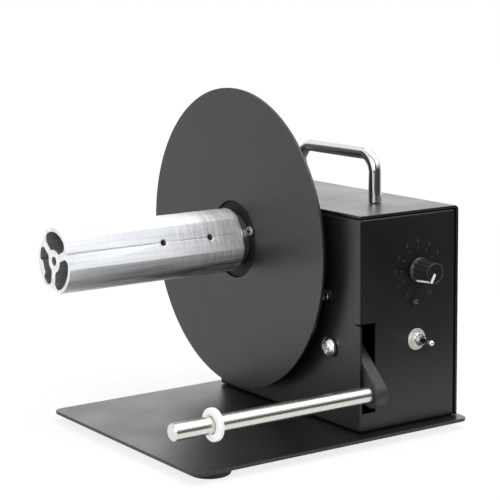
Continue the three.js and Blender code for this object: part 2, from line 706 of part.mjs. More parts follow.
// Carry handle: two legs, two bends and the grip, then a tapped hole up each leg.
function carryHandle() {
  const x = WALL_X + HANDLE_IN;
  const foot = HOUSING_TOP + SEAT;
  const grip = HOUSING_TOP + HANDLE_RISE;
  const points = [new THREE.Vector3(x, handleLegs[0], foot)];
  for (const end of [0, 1])
    for (let step = 0; step <= GRIP_STEPS; step++) {
      const turn = (Math.PI / 2) * (end ? GRIP_STEPS - step : step) / GRIP_STEPS;
      const inwards = end ? -1 : 1;
      points.push(
        new THREE.Vector3(
          x,
          handleLegs[end] + inwards * HANDLE_BEND_R * (1 - Math.cos(turn)),
          grip - HANDLE_BEND_R * (1 - Math.sin(turn)),
        ),
      );
    }
  points.push(new THREE.Vector3(x, handleLegs[1], foot));
  const section = new THREE.Shape();
  section.absarc(0, 0, HANDLE_D / 2, 0, 2 * Math.PI, false);
  let handle = solid(
    new THREE.ExtrudeGeometry(section, {
      steps: points.length - 1,
      extrudePath: new Route(points),
      curveSegments: GRIP_SIDES / 2,
    }),
  );
  for (const y of handleLegs)
    handle = handle.subtract(drill(HANDLE_SCREW_R + FIT, HANDLE_SCREW_L, UP, x, y, foot));
  return handle;
}

add("carry_handle", carryHandle(), stainless());
handleLegs.forEach((y, index) => {
  const screw = panScrew(HANDLE_SCREW_HEAD_R, HANDLE_SCREW_HEAD_H, HANDLE_SCREW_R, HANDLE_SCREW_L);
  const under = HOUSING_TOP - SHEET_T - SEAT;
  const end = ["front", "rear"][index];
  add(`handle_screw_${end}`, aim(screw, DOWN, WALL_X + HANDLE_IN, y, under), zincSteel());
});

// Spindle section: three grooved flats centred on three webs, and three kidney-shaped cavities between them.
const webTurns = [0, 1, 2].map((web) => Math.PI - rad(SPINDLE_TURN_DEG) + (web * 2 * Math.PI) / 3);

function spindleOutline() {
  const half = Math.acos(FLAT_R / SPINDLE_R);
  const flatPoint = (turn, across, out) => [
    out * Math.cos(turn) - across * Math.sin(turn),
    out * Math.sin(turn) + across * Math.cos(turn),
  ];
  const outline = new THREE.Shape();
  webTurns.forEach((turn, web) => {
    const start = flatPoint(turn, -SPINDLE_R * Math.sin(half), FLAT_R);
    web ? outline.lineTo(...start) : outline.moveTo(...start);
    outline.lineTo(...flatPoint(turn, -GROOVE_W / 2, FLAT_R));
    outline.lineTo(...flatPoint(turn, 0, FLAT_R - GROOVE_H));
    outline.lineTo(...flatPoint(turn, GROOVE_W / 2, FLAT_R));
    outline.absarc(0, 0, SPINDLE_R, turn + half, turn + (2 * Math.PI) / 3 - half, false);
  });
  outline.closePath();
  webTurns.forEach((turn, web) => outline.holes.push(cavity(turn + Math.PI / 3, web === 1)));
  const bore = new THREE.Path();
  bore.absarc(0, 0, SPINDLE_BORE_R, 0, 2 * Math.PI, true);
  outline.holes.push(bore);
  return outline;
}

// One cavity about its middle direction. A pad leaves a flat land on the outer wall.
function cavity(middle, padded) {
  const side = WEB_T / 2;
  const outerFillet = CAVITY_OUTER_FILLET;
  const innerFillet = CAVITY_INNER_FILLET;
  const outerAt = CAVITY_R - outerFillet;
  const innerAt = SPINDLE_BOSS_R + innerFillet;
  const outerOff = Math.asin((side + outerFillet) / outerAt);
  const innerOff = Math.asin((side + innerFillet) / innerAt);
  const first = middle - Math.PI / 3;
  const last = middle + Math.PI / 3;
  const path = new THREE.Path();
  const fillet = (at, turn, radius, from, to) =>
    path.absarc(at * Math.cos(turn), at * Math.sin(turn), radius, from, to, false);
  if (padded) {
    const spread = Math.asin(PAD_FOOT_W / 2 / CAVITY_R);
    const land = (across) =>
      path.lineTo(
        PAD_R * Math.cos(middle) - across * Math.sin(middle),
        PAD_R * Math.sin(middle) + across * Math.cos(middle),
      );
    path.absarc(0, 0, CAVITY_R, first + outerOff, middle - spread, false);
    land(-PAD_W / 2);
    land(PAD_W / 2);
    path.absarc(0, 0, CAVITY_R, middle + spread, last - outerOff, false);
  } else {
    path.absarc(0, 0, CAVITY_R, first + outerOff, last - outerOff, false);
  }
  fillet(outerAt, last - outerOff, outerFillet, last - outerOff, last + Math.PI / 2);
  fillet(innerAt, last - innerOff, innerFillet, last + Math.PI / 2, last - innerOff + Math.PI);
  path.absarc(0, 0, SPINDLE_BOSS_R, last - innerOff, first + innerOff, true);
  fillet(innerAt, first + innerOff, innerFillet, first + innerOff + Math.PI, first + 1.5 * Math.PI);
  fillet(outerAt, first + outerOff, outerFillet, first - Math.PI / 2, first + outerOff);
  return path;
}

function spindleProfile() {
  const front = -SPINDLE_BACK_GAP - SPINDLE_L;
  let spindle = solid(plateX(spindleOutline(), front, SPINDLE_L)).translate([0, 0, AXIS_Z]);
  const turn = webTurns[0];
  const outwards = new THREE.Vector3(0, Math.cos(turn), Math.sin(turn));
  const inwards = outwards.clone().negate();
  for (const along of [TAPPED_FRONT, TAPPED_REAR])
    spindle = spindle.subtract(
      drill(TAPPED_R, TAPPED_H, inwards, front + along, FLAT_R * outwards.y, AXIS_Z + FLAT_R * outwards.z),
    );
  return spindle;
}

// Drive hub: the bright boss that the spindle butts against, and a sleeve through the hub flange.
function driveHub() {
  const boss = DRIVE_BOSS_D / 2;
  const sleeve = DRIVE_SLEEVE_D / 2;
  const face = -SPINDLE_BACK_GAP + SEAT;
  const step = HUB_SPIGOT_SINK - SEAT;
  const waist = face + STUD_IN_HUB;
  const hub = turned(
    [[STUD_R + FIT, face], [boss, face], [boss, step], [sleeve, step], [sleeve, DRIVE_SLEEVE_END],
      [SHAFT_R + RUN, DRIVE_SLEEVE_END], [SHAFT_R + RUN, waist], [STUD_R + FIT, waist], [STUD_R + FIT, face]],
    ROUND_FACETS,
  );
  return solid(aim(hub, RIGHT, 0, 0, AXIS_Z)).subtract(
    drill(SET_SCREW_R + FIT, sleeve, DOWN, SET_SCREW_AT, 0, AXIS_Z + sleeve),
  );
}

// Hub flange behind the disc, with a spigot that centres the disc.
function hubFlange() {
  const bore = DRIVE_SLEEVE_D / 2 + FIT;
  const spigot = DISC_HOLE_D / 2 - FIT;
  const back = DISC_T + SEAT;
  return turned(
    [[bore, HUB_SPIGOT_SINK], [spigot, HUB_SPIGOT_SINK], [spigot, back], [HUB_FLANGE_D / 2, back],
      [HUB_FLANGE_D / 2, back + HUB_FLANGE_T], [bore, back + HUB_FLANGE_T], [bore, HUB_SPIGOT_SINK]],
    ROUND_FACETS,
  );
}

function outputShaft() {
  const start = -SPINDLE_BACK_GAP + SEAT + STUD_IN_HUB + SEAT;
  const length = GEARBOX_X + SHAFT_IN_GEARBOX - start;
  const shaft = solid(aim(rodOf(SHAFT_R, length, PART_FACETS), RIGHT, start, 0, AXIS_Z));
  const flat = block(start - OVERRUN, DRIVE_SLEEVE_END, -SHAFT_R, SHAFT_R, AXIS_Z + SHAFT_R - SHAFT_FLAT,
    AXIS_Z + SHAFT_R + OVERRUN);
  return shaft.subtract(solid(flat));
}

const disc = ring(DISC_HOLE_D / 2, DISC_D / 2, DISC_T, DISC_FACETS);
add("spindle_profile", spindleProfile(), aluminium());
add("flange_disc", aim(disc, RIGHT, 0, 0, AXIS_Z), powderCoat());
add("hub_flange", aim(hubFlange(), RIGHT, 0, 0, AXIS_Z), blackSteel());
add("drive_hub", driveHub(), aluminium());
add("output_shaft", outputShaft(), zincSteel());
const studL = STUD_IN_SPINDLE + SEAT + STUD_IN_HUB;
const studX = -SPINDLE_BACK_GAP - STUD_IN_SPINDLE;
add("spindle_stud", aim(rodOf(STUD_R, studL, SCREW_FACETS), RIGHT, studX, 0, AXIS_Z), zincSteel());
const setScrewL = DRIVE_SLEEVE_D / 2 - (SHAFT_R - SHAFT_FLAT) - SEAT;
const setScrewTop = AXIS_Z + DRIVE_SLEEVE_D / 2;
const setScrew = rodOf(SET_SCREW_R, setScrewL, SCREW_FACETS);
add("hub_set_screw", aim(setScrew, DOWN, SET_SCREW_AT, 0, setScrewTop), blackSteel());

// Gearbox: an offset round case with the output boss through the wall
function gearboxHousing() {
  const bossX = WALL_X - GEARBOX_BOSS_OUT;
  const rim = GEARBOX_R - GEARBOX_RIM;
  const face = GEARBOX_L * GEARBOX_RIM_SHARE;
  const caseBody = turned(
    [[0, 0], [GEARBOX_R, 0], [GEARBOX_R, face], [rim, face], [rim, GEARBOX_L - face],
      [GEARBOX_R, GEARBOX_L - face], [GEARBOX_R, GEARBOX_L], [0, GEARBOX_L]],
    PART_FACETS,
  );
  let gearbox = solid(aim(caseBody, RIGHT, GEARBOX_X, 0, GEARBOX_Z)).add(
    solid(aim(rodOf(GEARBOX_BOSS_R, GEARBOX_X - bossX + face, PART_FACETS), RIGHT, bossX, 0, AXIS_Z)),
  );
  gearbox = gearbox.subtract(
    drill(SHAFT_R + RUN, GEARBOX_X - bossX + SHAFT_IN_GEARBOX + SEAT, RIGHT, bossX, 0, AXIS_Z, PART_FACETS),
  );
  for (const [y, z] of gearboxScrewPlaces)
    gearbox = gearbox.subtract(drill(GEARBOX_SCREW_R + FIT, GEARBOX_SCREW_L, RIGHT, GEARBOX_X, y, z));
  return gearbox;
}

function motorCan() {
  const start = GEARBOX_X + GEARBOX_L + SEAT;
  const can = turned(
    [[0, 0], [MOTOR_R, 0], [MOTOR_R, MOTOR_L - MOTOR_EDGE], [MOTOR_R - MOTOR_EDGE, MOTOR_L],
      [MOTOR_BOSS_R, MOTOR_L], [MOTOR_BOSS_R, MOTOR_L + MOTOR_BOSS_H], [0, MOTOR_L + MOTOR_BOSS_H]],
    PART_FACETS,
  );
  let motor = solid(aim(can, RIGHT, start, 0, GEARBOX_Z));
  const end = start + MOTOR_L;
  for (const side of [-1, 1]) {
    const y = side * TERMINAL_SPREAD;
    motor = motor.add(
      solid(block(end - MOTOR_EDGE, end + TERMINAL_H, y - TERMINAL_T / 2, y + TERMINAL_T / 2,
        GEARBOX_Z - TERMINAL_W / 2, GEARBOX_Z + TERMINAL_W / 2)),
    );
  }
  return motor;
}

add("gearbox_housing", gearboxHousing(), zincSteel());
add("motor_can", motorCan(), zincSteel());
gearboxScrewPlaces.forEach(([y, z], index) => {
  const screw = panScrew(GEARBOX_SCREW_HEAD_R, GEARBOX_SCREW_HEAD_H, GEARBOX_SCREW_R, GEARBOX_SCREW_L);
  add(`gearbox_screw_${index + 1}`, aim(screw, LEFT, WALL_X - SEAT, y, z), zincSteel());
});

// Swing arm: a drop-shaped outline round the pivot and the rod, with a thin flag for the sensor
const armTurn = Math.PI + ARM_DROP;
const armSpread = Math.acos((ARM_HUB_R - ARM_END_R) / ARM_L);

function swingArm() {
  const outline = new THREE.Shape();
  outline.absarc(ROD_Y, ROD_Z, ARM_END_R, armTurn - armSpread, armTurn + armSpread, false);
  const fullTurn = 2 * Math.PI;
  outline.absarc(PIVOT_Y, PIVOT_Z, ARM_HUB_R, armTurn + armSpread, armTurn - armSpread + fullTurn, false);
  outline.closePath();
  const sink = ROD_SCREW_HEAD_H + SEAT;
  const countersink = turned(
    [[0, 0], [ROD_SCREW_HEAD_R + FIT, 0], [ROD_SCREW_R + FIT, sink], [0, sink]].reverse()
      .map(([radius, height]) => [radius, -height]),
    PART_FACETS,
  );
  return solid(plateX(outline, ARM_X, ARM_T, { bevel: ARM_EDGE, steps: 2 * ARC_STEPS }))
    .add(
      solid(block(FLAG_X - FLAG_T / 2, FLAG_X + FLAG_T / 2, PIVOT_Y - FLAG_W / 2, PIVOT_Y + FLAG_W / 2,
        PIVOT_Z + (BUSH_R + ARM_HUB_R) / 2, PIVOT_Z + FLAG_R)),
    )
    .subtract(drill(BUSH_R + FIT, ARM_T + OVERRUN, RIGHT, ARM_X, PIVOT_Y, PIVOT_Z, PART_FACETS))
    .subtract(drill(ROD_SCREW_R + FIT, ARM_T + OVERRUN, RIGHT, ARM_X, ROD_Y, ROD_Z, PART_FACETS))
    .subtract(solid(aim(countersink, RIGHT, ARM_RIGHT, ROD_Y, ROD_Z)));
}

function armBush() {
  const bore = PIVOT_R + FIT;
  return turned(
    [[bore, 0], [BUSH_FLANGE_R, 0], [BUSH_FLANGE_R, BUSH_FLANGE_T], [BUSH_R, BUSH_FLANGE_T],
      [BUSH_R, BUSH_FLANGE_T + SEAT + ARM_T], [bore, BUSH_FLANGE_T + SEAT + ARM_T], [bore, 0]],
    PART_FACETS,
  );
}

function guideRod() {
  const hole = ROD_SCREW_R + FIT;
  const holeL = ROD_SCREW_L - ARM_T + SEAT;
  return turned(
    [[0, 0], [ROD_R - ROD_CHAMFER, 0], [ROD_R, ROD_CHAMFER], [ROD_R, ROD_L], [hole, ROD_L],
      [hole, ROD_L - holeL], [0, ROD_L - holeL]],
    ROUND_FACETS,
  );
}

function rodScrew() {
  const length = ROD_SCREW_L;
  return turned(
    [[0, -length], [ROD_SCREW_R, -length], [ROD_SCREW_R, -ROD_SCREW_HEAD_H], [ROD_SCREW_HEAD_R, 0], [0, 0]],
    PART_FACETS,
  );
}

function guideCollar() {
  const bore = ROD_R + FIT;
  return turned(
    [[bore, 0], [COLLAR_R - COLLAR_EDGE, 0], [COLLAR_R, COLLAR_EDGE], [COLLAR_R, COLLAR_T - COLLAR_EDGE],
      [COLLAR_R - COLLAR_EDGE, COLLAR_T], [bore, COLLAR_T], [bore, 0]],
    ROUND_FACETS,
  );
}

// Stop stud: it lies against the arm's lower edge at rest.
function stopCentreZ() {
  const normal = armTurn + armSpread;
  const y = FRONT_Y + STOP_BACK;
  const reach = ARM_HUB_R + SEAT + STOP_R;
  return PIVOT_Z + (reach - (y - PIVOT_Y) * Math.cos(normal)) / Math.sin(normal);
}

add("swing_arm", swingArm(), castGrey());
add("arm_bush", aim(armBush(), RIGHT, ARM_X - SEAT - BUSH_FLANGE_T, PIVOT_Y, PIVOT_Z), brass());
add("guide_rod", aim(guideRod(), RIGHT, ARM_X - SEAT - ROD_L, ROD_Y, ROD_Z), stainless());
add("rod_screw", aim(rodScrew(), RIGHT, ARM_RIGHT - SEAT, ROD_Y, ROD_Z), zincSteel());
add("guide_collar", aim(guideCollar(), RIGHT, WALL_X - COLLAR_OUT, ROD_Y, ROD_Z), nylonWhite());
const pivotScrewL = SEAT + SHEET_T + ARM_INSET + ARM_T + PIVOT_WASHER_T + PIVOT_NUT_T;
const pivotScrew = panScrew(PIVOT_HEAD_R, PIVOT_HEAD_H, PIVOT_R, pivotScrewL);
add("arm_pivot_screw", aim(pivotScrew, LEFT, WALL_X - SEAT, PIVOT_Y, PIVOT_Z), chromed());
const washerX = ARM_RIGHT + SEAT;
const pivotWasher = ring(PIVOT_R + FIT, PIVOT_WASHER_R, PIVOT_WASHER_T, PART_FACETS);
add("pivot_washer", aim(pivotWasher, RIGHT, washerX, PIVOT_Y, PIVOT_Z), zincSteel());
const pivotNut = nut(PIVOT_NUT_AF, PIVOT_NUT_T, PIVOT_R + FIT);
add("pivot_nut", aim(pivotNut, RIGHT, washerX + PIVOT_WASHER_T + SEAT, PIVOT_Y, PIVOT_Z), zincSteel());
const stopStud = rodOf(STOP_R, STOP_L, SCREW_FACETS);
const stopAt = [WALL_IN_X + SEAT, FRONT_Y + STOP_BACK, stopCentreZ()];
add("arm_stop_stud", aim(stopStud, RIGHT, ...stopAt), zincSteel());

// Slot sensor: two legs either side of the flag under one bridge
function slotSensor() {
  const inner = SENSOR_GAP / 2;
  const outer = inner + SENSOR_LEG_T;
  const low = SENSOR_BRIDGE_Z - SENSOR_LEG_H;
  const y0 = PIVOT_Y - SENSOR_W / 2;
  const y1 = PIVOT_Y + SENSOR_W / 2;
  const top = SENSOR_BRIDGE_Z + SENSOR_BRIDGE_H;
  const body = block(FLAG_X - outer, FLAG_X + outer, y0, y1, low, top);
  const gap = block(FLAG_X - inner, FLAG_X + inner, y0 - OVERRUN, y1 + OVERRUN, low - OVERRUN,
    SENSOR_BRIDGE_Z);
  return solid(body).subtract(solid(gap));
}

function sensorBracket() {
  const x = WALL_IN_X + SEAT;
  const screwY = PIVOT_Y + SENSOR_SCREW_BACK;
  const y0 = screwY - BRACKET_W / 2;
  const y1 = screwY + BRACKET_W / 2;
  const upright = solid(block(x, x + BRACKET_T, y0, y1, BRACKET_Z, BRACKET_Z + BRACKET_H));
  const shelf = solid(block(x, x + BRACKET_REACH, y0, y1, BRACKET_Z, BRACKET_Z + BRACKET_T));
  const screwZ = PIVOT_Z + SENSOR_SCREW_UP;
  const hole = drill(SENSOR_SCREW_R + FIT, BRACKET_T + OVERRUN, RIGHT, x, screwY, screwZ);
  return upright.add(shelf).subtract(hole);
}

add("slot_sensor", slotSensor(), blackPlastic());
add("sensor_bracket", sensorBracket(), zincSteel());
const sensorScrew = panScrew(SENSOR_SCREW_HEAD_R, SENSOR_SCREW_HEAD_H, SENSOR_SCREW_R, SENSOR_SCREW_L);
add(
  "sensor_screw",
  aim(sensorScrew, LEFT, WALL_X - SEAT, PIVOT_Y + SENSOR_SCREW_BACK, PIVOT_Z + SENSOR_SCREW_UP),
  chromed(),
);

// Speed control, built about the shaft: the panel's face is at height 0, and +Y points outwards
const knobGroup = new THREE.Group();
knobGroup.position.set(WALL_X + KNOB_IN, FRONT_Y, PLATE_TOP + KNOB_UP);
knobGroup.rotation.z = Math.PI;
machine.add(knobGroup);
const knobTop = KNOB_OFF_PANEL + KNOB_H;

function potBody() {
  const back = -SHEET_T - SEAT;
  const bore = POT_SHAFT_R + RUN;
  const can = turned(
    [[0, back - POT_H], [POT_R, back - POT_H], [POT_R, back], [POT_BUSH_R, back], [POT_BUSH_R, POT_BUSH_OUT],
      [bore, POT_BUSH_OUT], [bore, -POT_SHAFT_IN - SEAT], [0, -POT_SHAFT_IN - SEAT]],
    PART_FACETS,
  );
  const tabs = block(-POT_TAB_W / 2, POT_TAB_W / 2, back - POT_H / 2, back - POT_H / 2 + POT_TAB_T,
    -POT_R - POT_TAB_H, -POT_R / 2);
  return solid(can).add(solid(tabs));
}

// The pointer strip over the knob's face and side. A margin makes it the cutter of its own groove.
function pointerSolid(margin) {
  const bottom = KNOB_OFF_PANEL + KNOB_SKIRT_H;
  const outline = new THREE.Shape();
  outline.moveTo(POINTER_W / 2 - margin, knobTop + POINTER_PROUD + margin);
  outline.lineTo(POINTER_W / 2 - margin, knobTop - POINTER_ROOT - margin);
  outline.lineTo(KNOB_TOP_R - POINTER_ROOT - margin, knobTop - POINTER_ROOT - margin);
  outline.lineTo(KNOB_BASE_R - POINTER_ROOT - margin, bottom - margin);
  outline.lineTo(KNOB_BASE_R + POINTER_PROUD + margin, bottom - margin);
  outline.lineTo(KNOB_TOP_R + POINTER_PROUD + margin, knobTop + POINTER_PROUD + margin);
  outline.closePath();
  const width = POINTER_W + 2 * margin;
  const strip = new THREE.ExtrudeGeometry(outline, { depth: width, bevelEnabled: false });
  strip.translate(0, 0, -width / 2);
  return solid(strip.rotateY(Math.PI / 2 - rad(POINTER_DEG)));
}

function speedKnob() {
  const fluted = new THREE.Shape();
  const steps = 2 * KNOB_FLUTES;
  for (let step = 0; step < steps; step++) {
    const turn = (step / steps) * 2 * Math.PI;
    const radius = KNOB_BASE_R - (step % 2 ? KNOB_FLUTE_H : 0);
    const point = [radius * Math.cos(turn), radius * Math.sin(turn)];
    step ? fluted.lineTo(...point) : fluted.moveTo(...point);
  }
  fluted.closePath();
  const bodyTop = knobTop - KNOB_CAP_H;
  const grip = plateY(fluted, KNOB_OFF_PANEL, bodyTop - KNOB_OFF_PANEL);
  const position = grip.attributes.position;
  for (let index = 0; index < position.count; index++) {
    const share = (position.getY(index) - KNOB_OFF_PANEL) / (bodyTop - KNOB_OFF_PANEL);
    const scale = 1 - share * (1 - KNOB_TOP_R / KNOB_BASE_R);
    position.setX(index, position.getX(index) * scale);
    position.setZ(index, position.getZ(index) * scale);
  }
  const skirtEdge = KNOB_SKIRT_R - KNOB_BASE_R;
  const skirtTop = KNOB_OFF_PANEL + KNOB_SKIRT_H;
  const skirt = turned(
    [[0, KNOB_OFF_PANEL], [KNOB_SKIRT_R, KNOB_OFF_PANEL], [KNOB_SKIRT_R, skirtTop - skirtEdge],
      [KNOB_BASE_R, skirtTop], [0, skirtTop]],
    ROUND_FACETS,
  );
  const cap = turned(
    [[0, bodyTop - KNOB_CAP_H], [KNOB_TOP_R, bodyTop - KNOB_CAP_H], [KNOB_TOP_R, knobTop - KNOB_CAP_H / 2],
      [KNOB_TOP_R - KNOB_CAP_H / 2, knobTop], [0, knobTop]],
    ROUND_FACETS,
  );
  const nutRoomR = POT_NUT_AF / Math.sqrt(3) + FIT;
  const room = turned(
    [[0, 0], [nutRoomR, 0], [nutRoomR, POT_NUT_T + 2 * SEAT], [POT_BUSH_R + FIT, POT_NUT_T + 2 * SEAT],
      [POT_BUSH_R + FIT, POT_BUSH_OUT + SEAT], [POT_SHAFT_R + RUN, POT_BUSH_OUT + SEAT],
      [POT_SHAFT_R + RUN, KNOB_SHAFT_IN], [0, KNOB_SHAFT_IN]],
    PART_FACETS,
  );
  return solid(grip).add(solid(skirt)).add(solid(cap)).subtract(solid(room)).subtract(pointerSolid(SEAT));
}

const potShaftL = POT_SHAFT_IN + POT_SHAFT_OUT;
const potNut = nut(POT_NUT_AF, POT_NUT_T, POT_BUSH_R + FIT).translate(0, SEAT, 0);
add("potentiometer_body", potBody(), zincSteel(), knobGroup);
add("potentiometer_nut", potNut, zincSteel(), knobGroup);
const potShaft = rodOf(POT_SHAFT_R, potShaftL, PART_FACETS).translate(0, -POT_SHAFT_IN, 0);
add("potentiometer_shaft", potShaft, aluminium(), knobGroup);
add("speed_knob", speedKnob(), blackPlastic(), knobGroup);
add("knob_pointer", pointerSolid(0), whitePaint(), knobGroup);

// Toggle switch, built the same way
const switchGroup = new THREE.Group();
switchGroup.position.set(WALL_X + SWITCH_IN, FRONT_Y, PLATE_TOP + SWITCH_UP);
switchGroup.rotation.z = Math.PI;
machine.add(switchGroup);

function switchBody() {
  const back = -SHEET_T - SEAT;
  const bottom = back - SWITCH_D;
  const boreEnd = LEVER_PIVOT_OUT - LEVER_BALL_R - SEAT;
  const bush = turned(
    [[0, back - SEAT], [SWITCH_BUSH_R, back - SEAT], [SWITCH_BUSH_R, SWITCH_BUSH_OUT],
      [SWITCH_MOUTH_R, SWITCH_BUSH_OUT], [SWITCH_BORE_R, LEVER_PIVOT_OUT], [SWITCH_BORE_R, boreEnd],
      [0, boreEnd]],
    PART_FACETS,
  );
  const box = block(-SWITCH_W / 2, SWITCH_W / 2, bottom, back, -SWITCH_H / 2, SWITCH_H / 2);
  let body = solid(box).add(solid(bush));
  for (const row of [-1, 0, 1]) {
    const z = row * SWITCH_PIN_PITCH;
    body = body.add(
      solid(block(-SWITCH_PIN_W / 2, SWITCH_PIN_W / 2, bottom - SWITCH_PIN_L, bottom + SEAT,
        z - SWITCH_PIN_T / 2, z + SWITCH_PIN_T / 2)),
    );
  }
  return body;
}

// Lever: a pivot ball, a neck that thickens outwards and a round tip.
function toggleLever() {
  const profile = [[0, LEVER_PIVOT_OUT - LEVER_BALL_R]];
  const ballSteps = 5;
  const neckTurn = Math.asin(LEVER_NECK_R / LEVER_BALL_R);
  for (let step = 1; step <= ballSteps; step++) {
    const turn = (Math.PI - neckTurn) * (step / ballSteps);
    profile.push([LEVER_BALL_R * Math.sin(turn), LEVER_PIVOT_OUT - LEVER_BALL_R * Math.cos(turn)]);
  }
  const tipAt = LEVER_OUT - LEVER_TIP_R;
  const rootTurn = Math.asin(LEVER_NECK_R / LEVER_TIP_R);
  for (let step = 0; step < ballSteps; step++) {
    const turn = rootTurn + (Math.PI - rootTurn) * (step / ballSteps);
    profile.push([LEVER_TIP_R * Math.sin(turn), tipAt - LEVER_TIP_R * Math.cos(turn)]);
  }
  profile.push([0, LEVER_OUT]);
  return turned(profile, SCREW_FACETS);
}

const switchWasher = ring(SWITCH_BUSH_R + FIT, SWITCH_WASHER_R, SWITCH_WASHER_T, PART_FACETS);
const switchNut = nut(SWITCH_NUT_AF, SWITCH_NUT_T, SWITCH_BUSH_R + FIT);
add("switch_body", switchBody(), blackPlastic(), switchGroup);
add("switch_washer", switchWasher.translate(0, SEAT, 0), chromed(), switchGroup);
add("switch_nut", switchNut.translate(0, 2 * SEAT + SWITCH_WASHER_T, 0), chromed(), switchGroup);
add("toggle_lever", toggleLever(), chromed(), switchGroup);

// Power lamp
const lampGroup = new THREE.Group();
lampGroup.position.set(WALL_X + LAMP_IN, FRONT_Y, PLATE_TOP + LAMP_UP);
lampGroup.rotation.z = Math.PI;
machine.add(lampGroup);

function powerLamp() {
  const back = -SHEET_T - SEAT;
  const domeH = LAMP_R / 2;
  const dome = LAMP_DOME_SHARES.map(([across, up]) => [LAMP_R * across, LAMP_OUT - domeH + domeH * up]);
  return turned(
    [[0, back - LAMP_IN_DEPTH], [LAMP_R, back - LAMP_IN_DEPTH], [LAMP_R, back - LAMP_FLANGE_T],
      [LAMP_FLANGE_R, back - LAMP_FLANGE_T], [LAMP_FLANGE_R, back], [LAMP_R, back], ...dome],
    PART_FACETS,
  );
}

const lampClipBack = -SHEET_T - 2 * SEAT - LAMP_FLANGE_T - CLIP_T;
const lampClip = ring(LAMP_R + FIT, CLIP_R, CLIP_T, PART_FACETS).translate(0, lampClipBack, 0);
add("power_lamp", powerLamp(), lampRed(), lampGroup);
add("lamp_clip", lampClip, blackPlastic(), lampGroup);

// Power inlet on the rear panel, with +Y outwards
function powerInlet() {
  const back = -SHEET_T - SEAT;
  const pinEnd = JACK_OUT - JACK_PIN_SINK;
  return turned(
    [[0, back - JACK_BODY_L], [JACK_BODY_R, back - JACK_BODY_L], [JACK_BODY_R, back], [JACK_R, back],
      [JACK_R, JACK_OUT], [JACK_BORE_R, JACK_OUT], [JACK_BORE_R, JACK_OUT - JACK_BORE_H],
      [JACK_PIN_R, JACK_OUT - JACK_BORE_H], [JACK_PIN_R, pinEnd], [0, pinEnd]],
    PART_FACETS,
  );
}

const jackX = WALL_X + JACK_IN;
const jackZ = PLATE_TOP + JACK_UP;
const inletNut = nut(JACK_NUT_AF, JACK_NUT_T, JACK_R + FIT).translate(0, SEAT, 0);
add("power_inlet", aim(powerInlet(), BACK, jackX, REAR_Y, jackZ), blackPlastic());
add("inlet_nut", aim(inletNut, BACK, jackX, REAR_Y, jackZ), zincSteel());

// Control board with its soldered parts, on four posts
const boardX = WALL_X + BOARD_IN;
const boardY = REAR_Y - BOARD_REAR_GAP - BOARD_D;
const postPlaces = [];
for (const x of [boardX + POST_INSET, boardX + BOARD_W - POST_INSET])
  for (const y of [boardY + POST_INSET, boardY + BOARD_D - POST_INSET]) postPlaces.push([x, y]);

function controlBoard() {
  const z = BOARD_Z;
  const top = z + BOARD_T / 2;
  let board = solid(block(boardX, boardX + BOARD_W, boardY, boardY + BOARD_D, z, z + BOARD_T));
  const relayX = boardX + BOARD_W * RELAY_PLACE_SHARES[0];
  const relayY = boardY + BOARD_D * RELAY_PLACE_SHARES[1];
  const socketX = boardX + BOARD_W * SOCKET_PLACE_SHARE;
  board = board
    .add(solid(block(relayX, relayX + RELAY_W, relayY, relayY + RELAY_D, top, z + BOARD_T + RELAY_H)))
    .add(
      solid(block(socketX, socketX + SOCKET_W, boardY + SEAT, boardY + SOCKET_D, top,
        z + BOARD_T + SOCKET_H)),
    );
  for (const share of CAPACITOR_PLACE_SHARES)
    board = board.add(
      solid(aim(rodOf(CAPACITOR_R, CAPACITOR_H + BOARD_T / 2, SCREW_FACETS), UP,
        boardX + BOARD_W * CAPACITOR_ROW_SHARE, boardY + BOARD_D * share, top)),
    );
  for (const [x, y] of postPlaces)
    board = board.subtract(drill(POST_PIN_R + FIT, BOARD_T + OVERRUN, UP, x, y, z));
  return board;
}

function boardPost() {
  return turned(
    [[0, 0], [POST_R, 0], [POST_R, POST_H], [POST_PIN_R, POST_H], [POST_PIN_R, POST_H + POST_PIN_H],
      [0, POST_H + POST_PIN_H]],
    SCREW_FACETS,
  );
}

add("control_board", controlBoard(), boardGreen());
postPlaces.forEach(([x, y], index) =>
  add(`board_post_${index + 1}`, aim(boardPost(), UP, x, y, PLATE_TOP + SEAT), nylonWhite()),
);

// Origin under the middle of the machine's box
const leftEnd = -SPINDLE_BACK_GAP - SPINDLE_L;
const frontEnd = Math.min(ROD_Y - COLLAR_R, FRONT_Y - knobTop - POINTER_PROUD);
machine.position.set(-(leftEnd + PLATE_RIGHT) / 2, -(frontEnd + DISC_D / 2) / 2, 0);

export default root;
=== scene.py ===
"""Looks of a label rewinder: surfaces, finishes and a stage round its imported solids, as an add-on."""

import math

import bmesh
import bpy
import numpy as np
from bpy.props import FloatProperty, FloatVectorProperty, IntProperty, PointerProperty
from mathutils import Matrix, Vector
from mathutils.geometry import tessellate_polygon


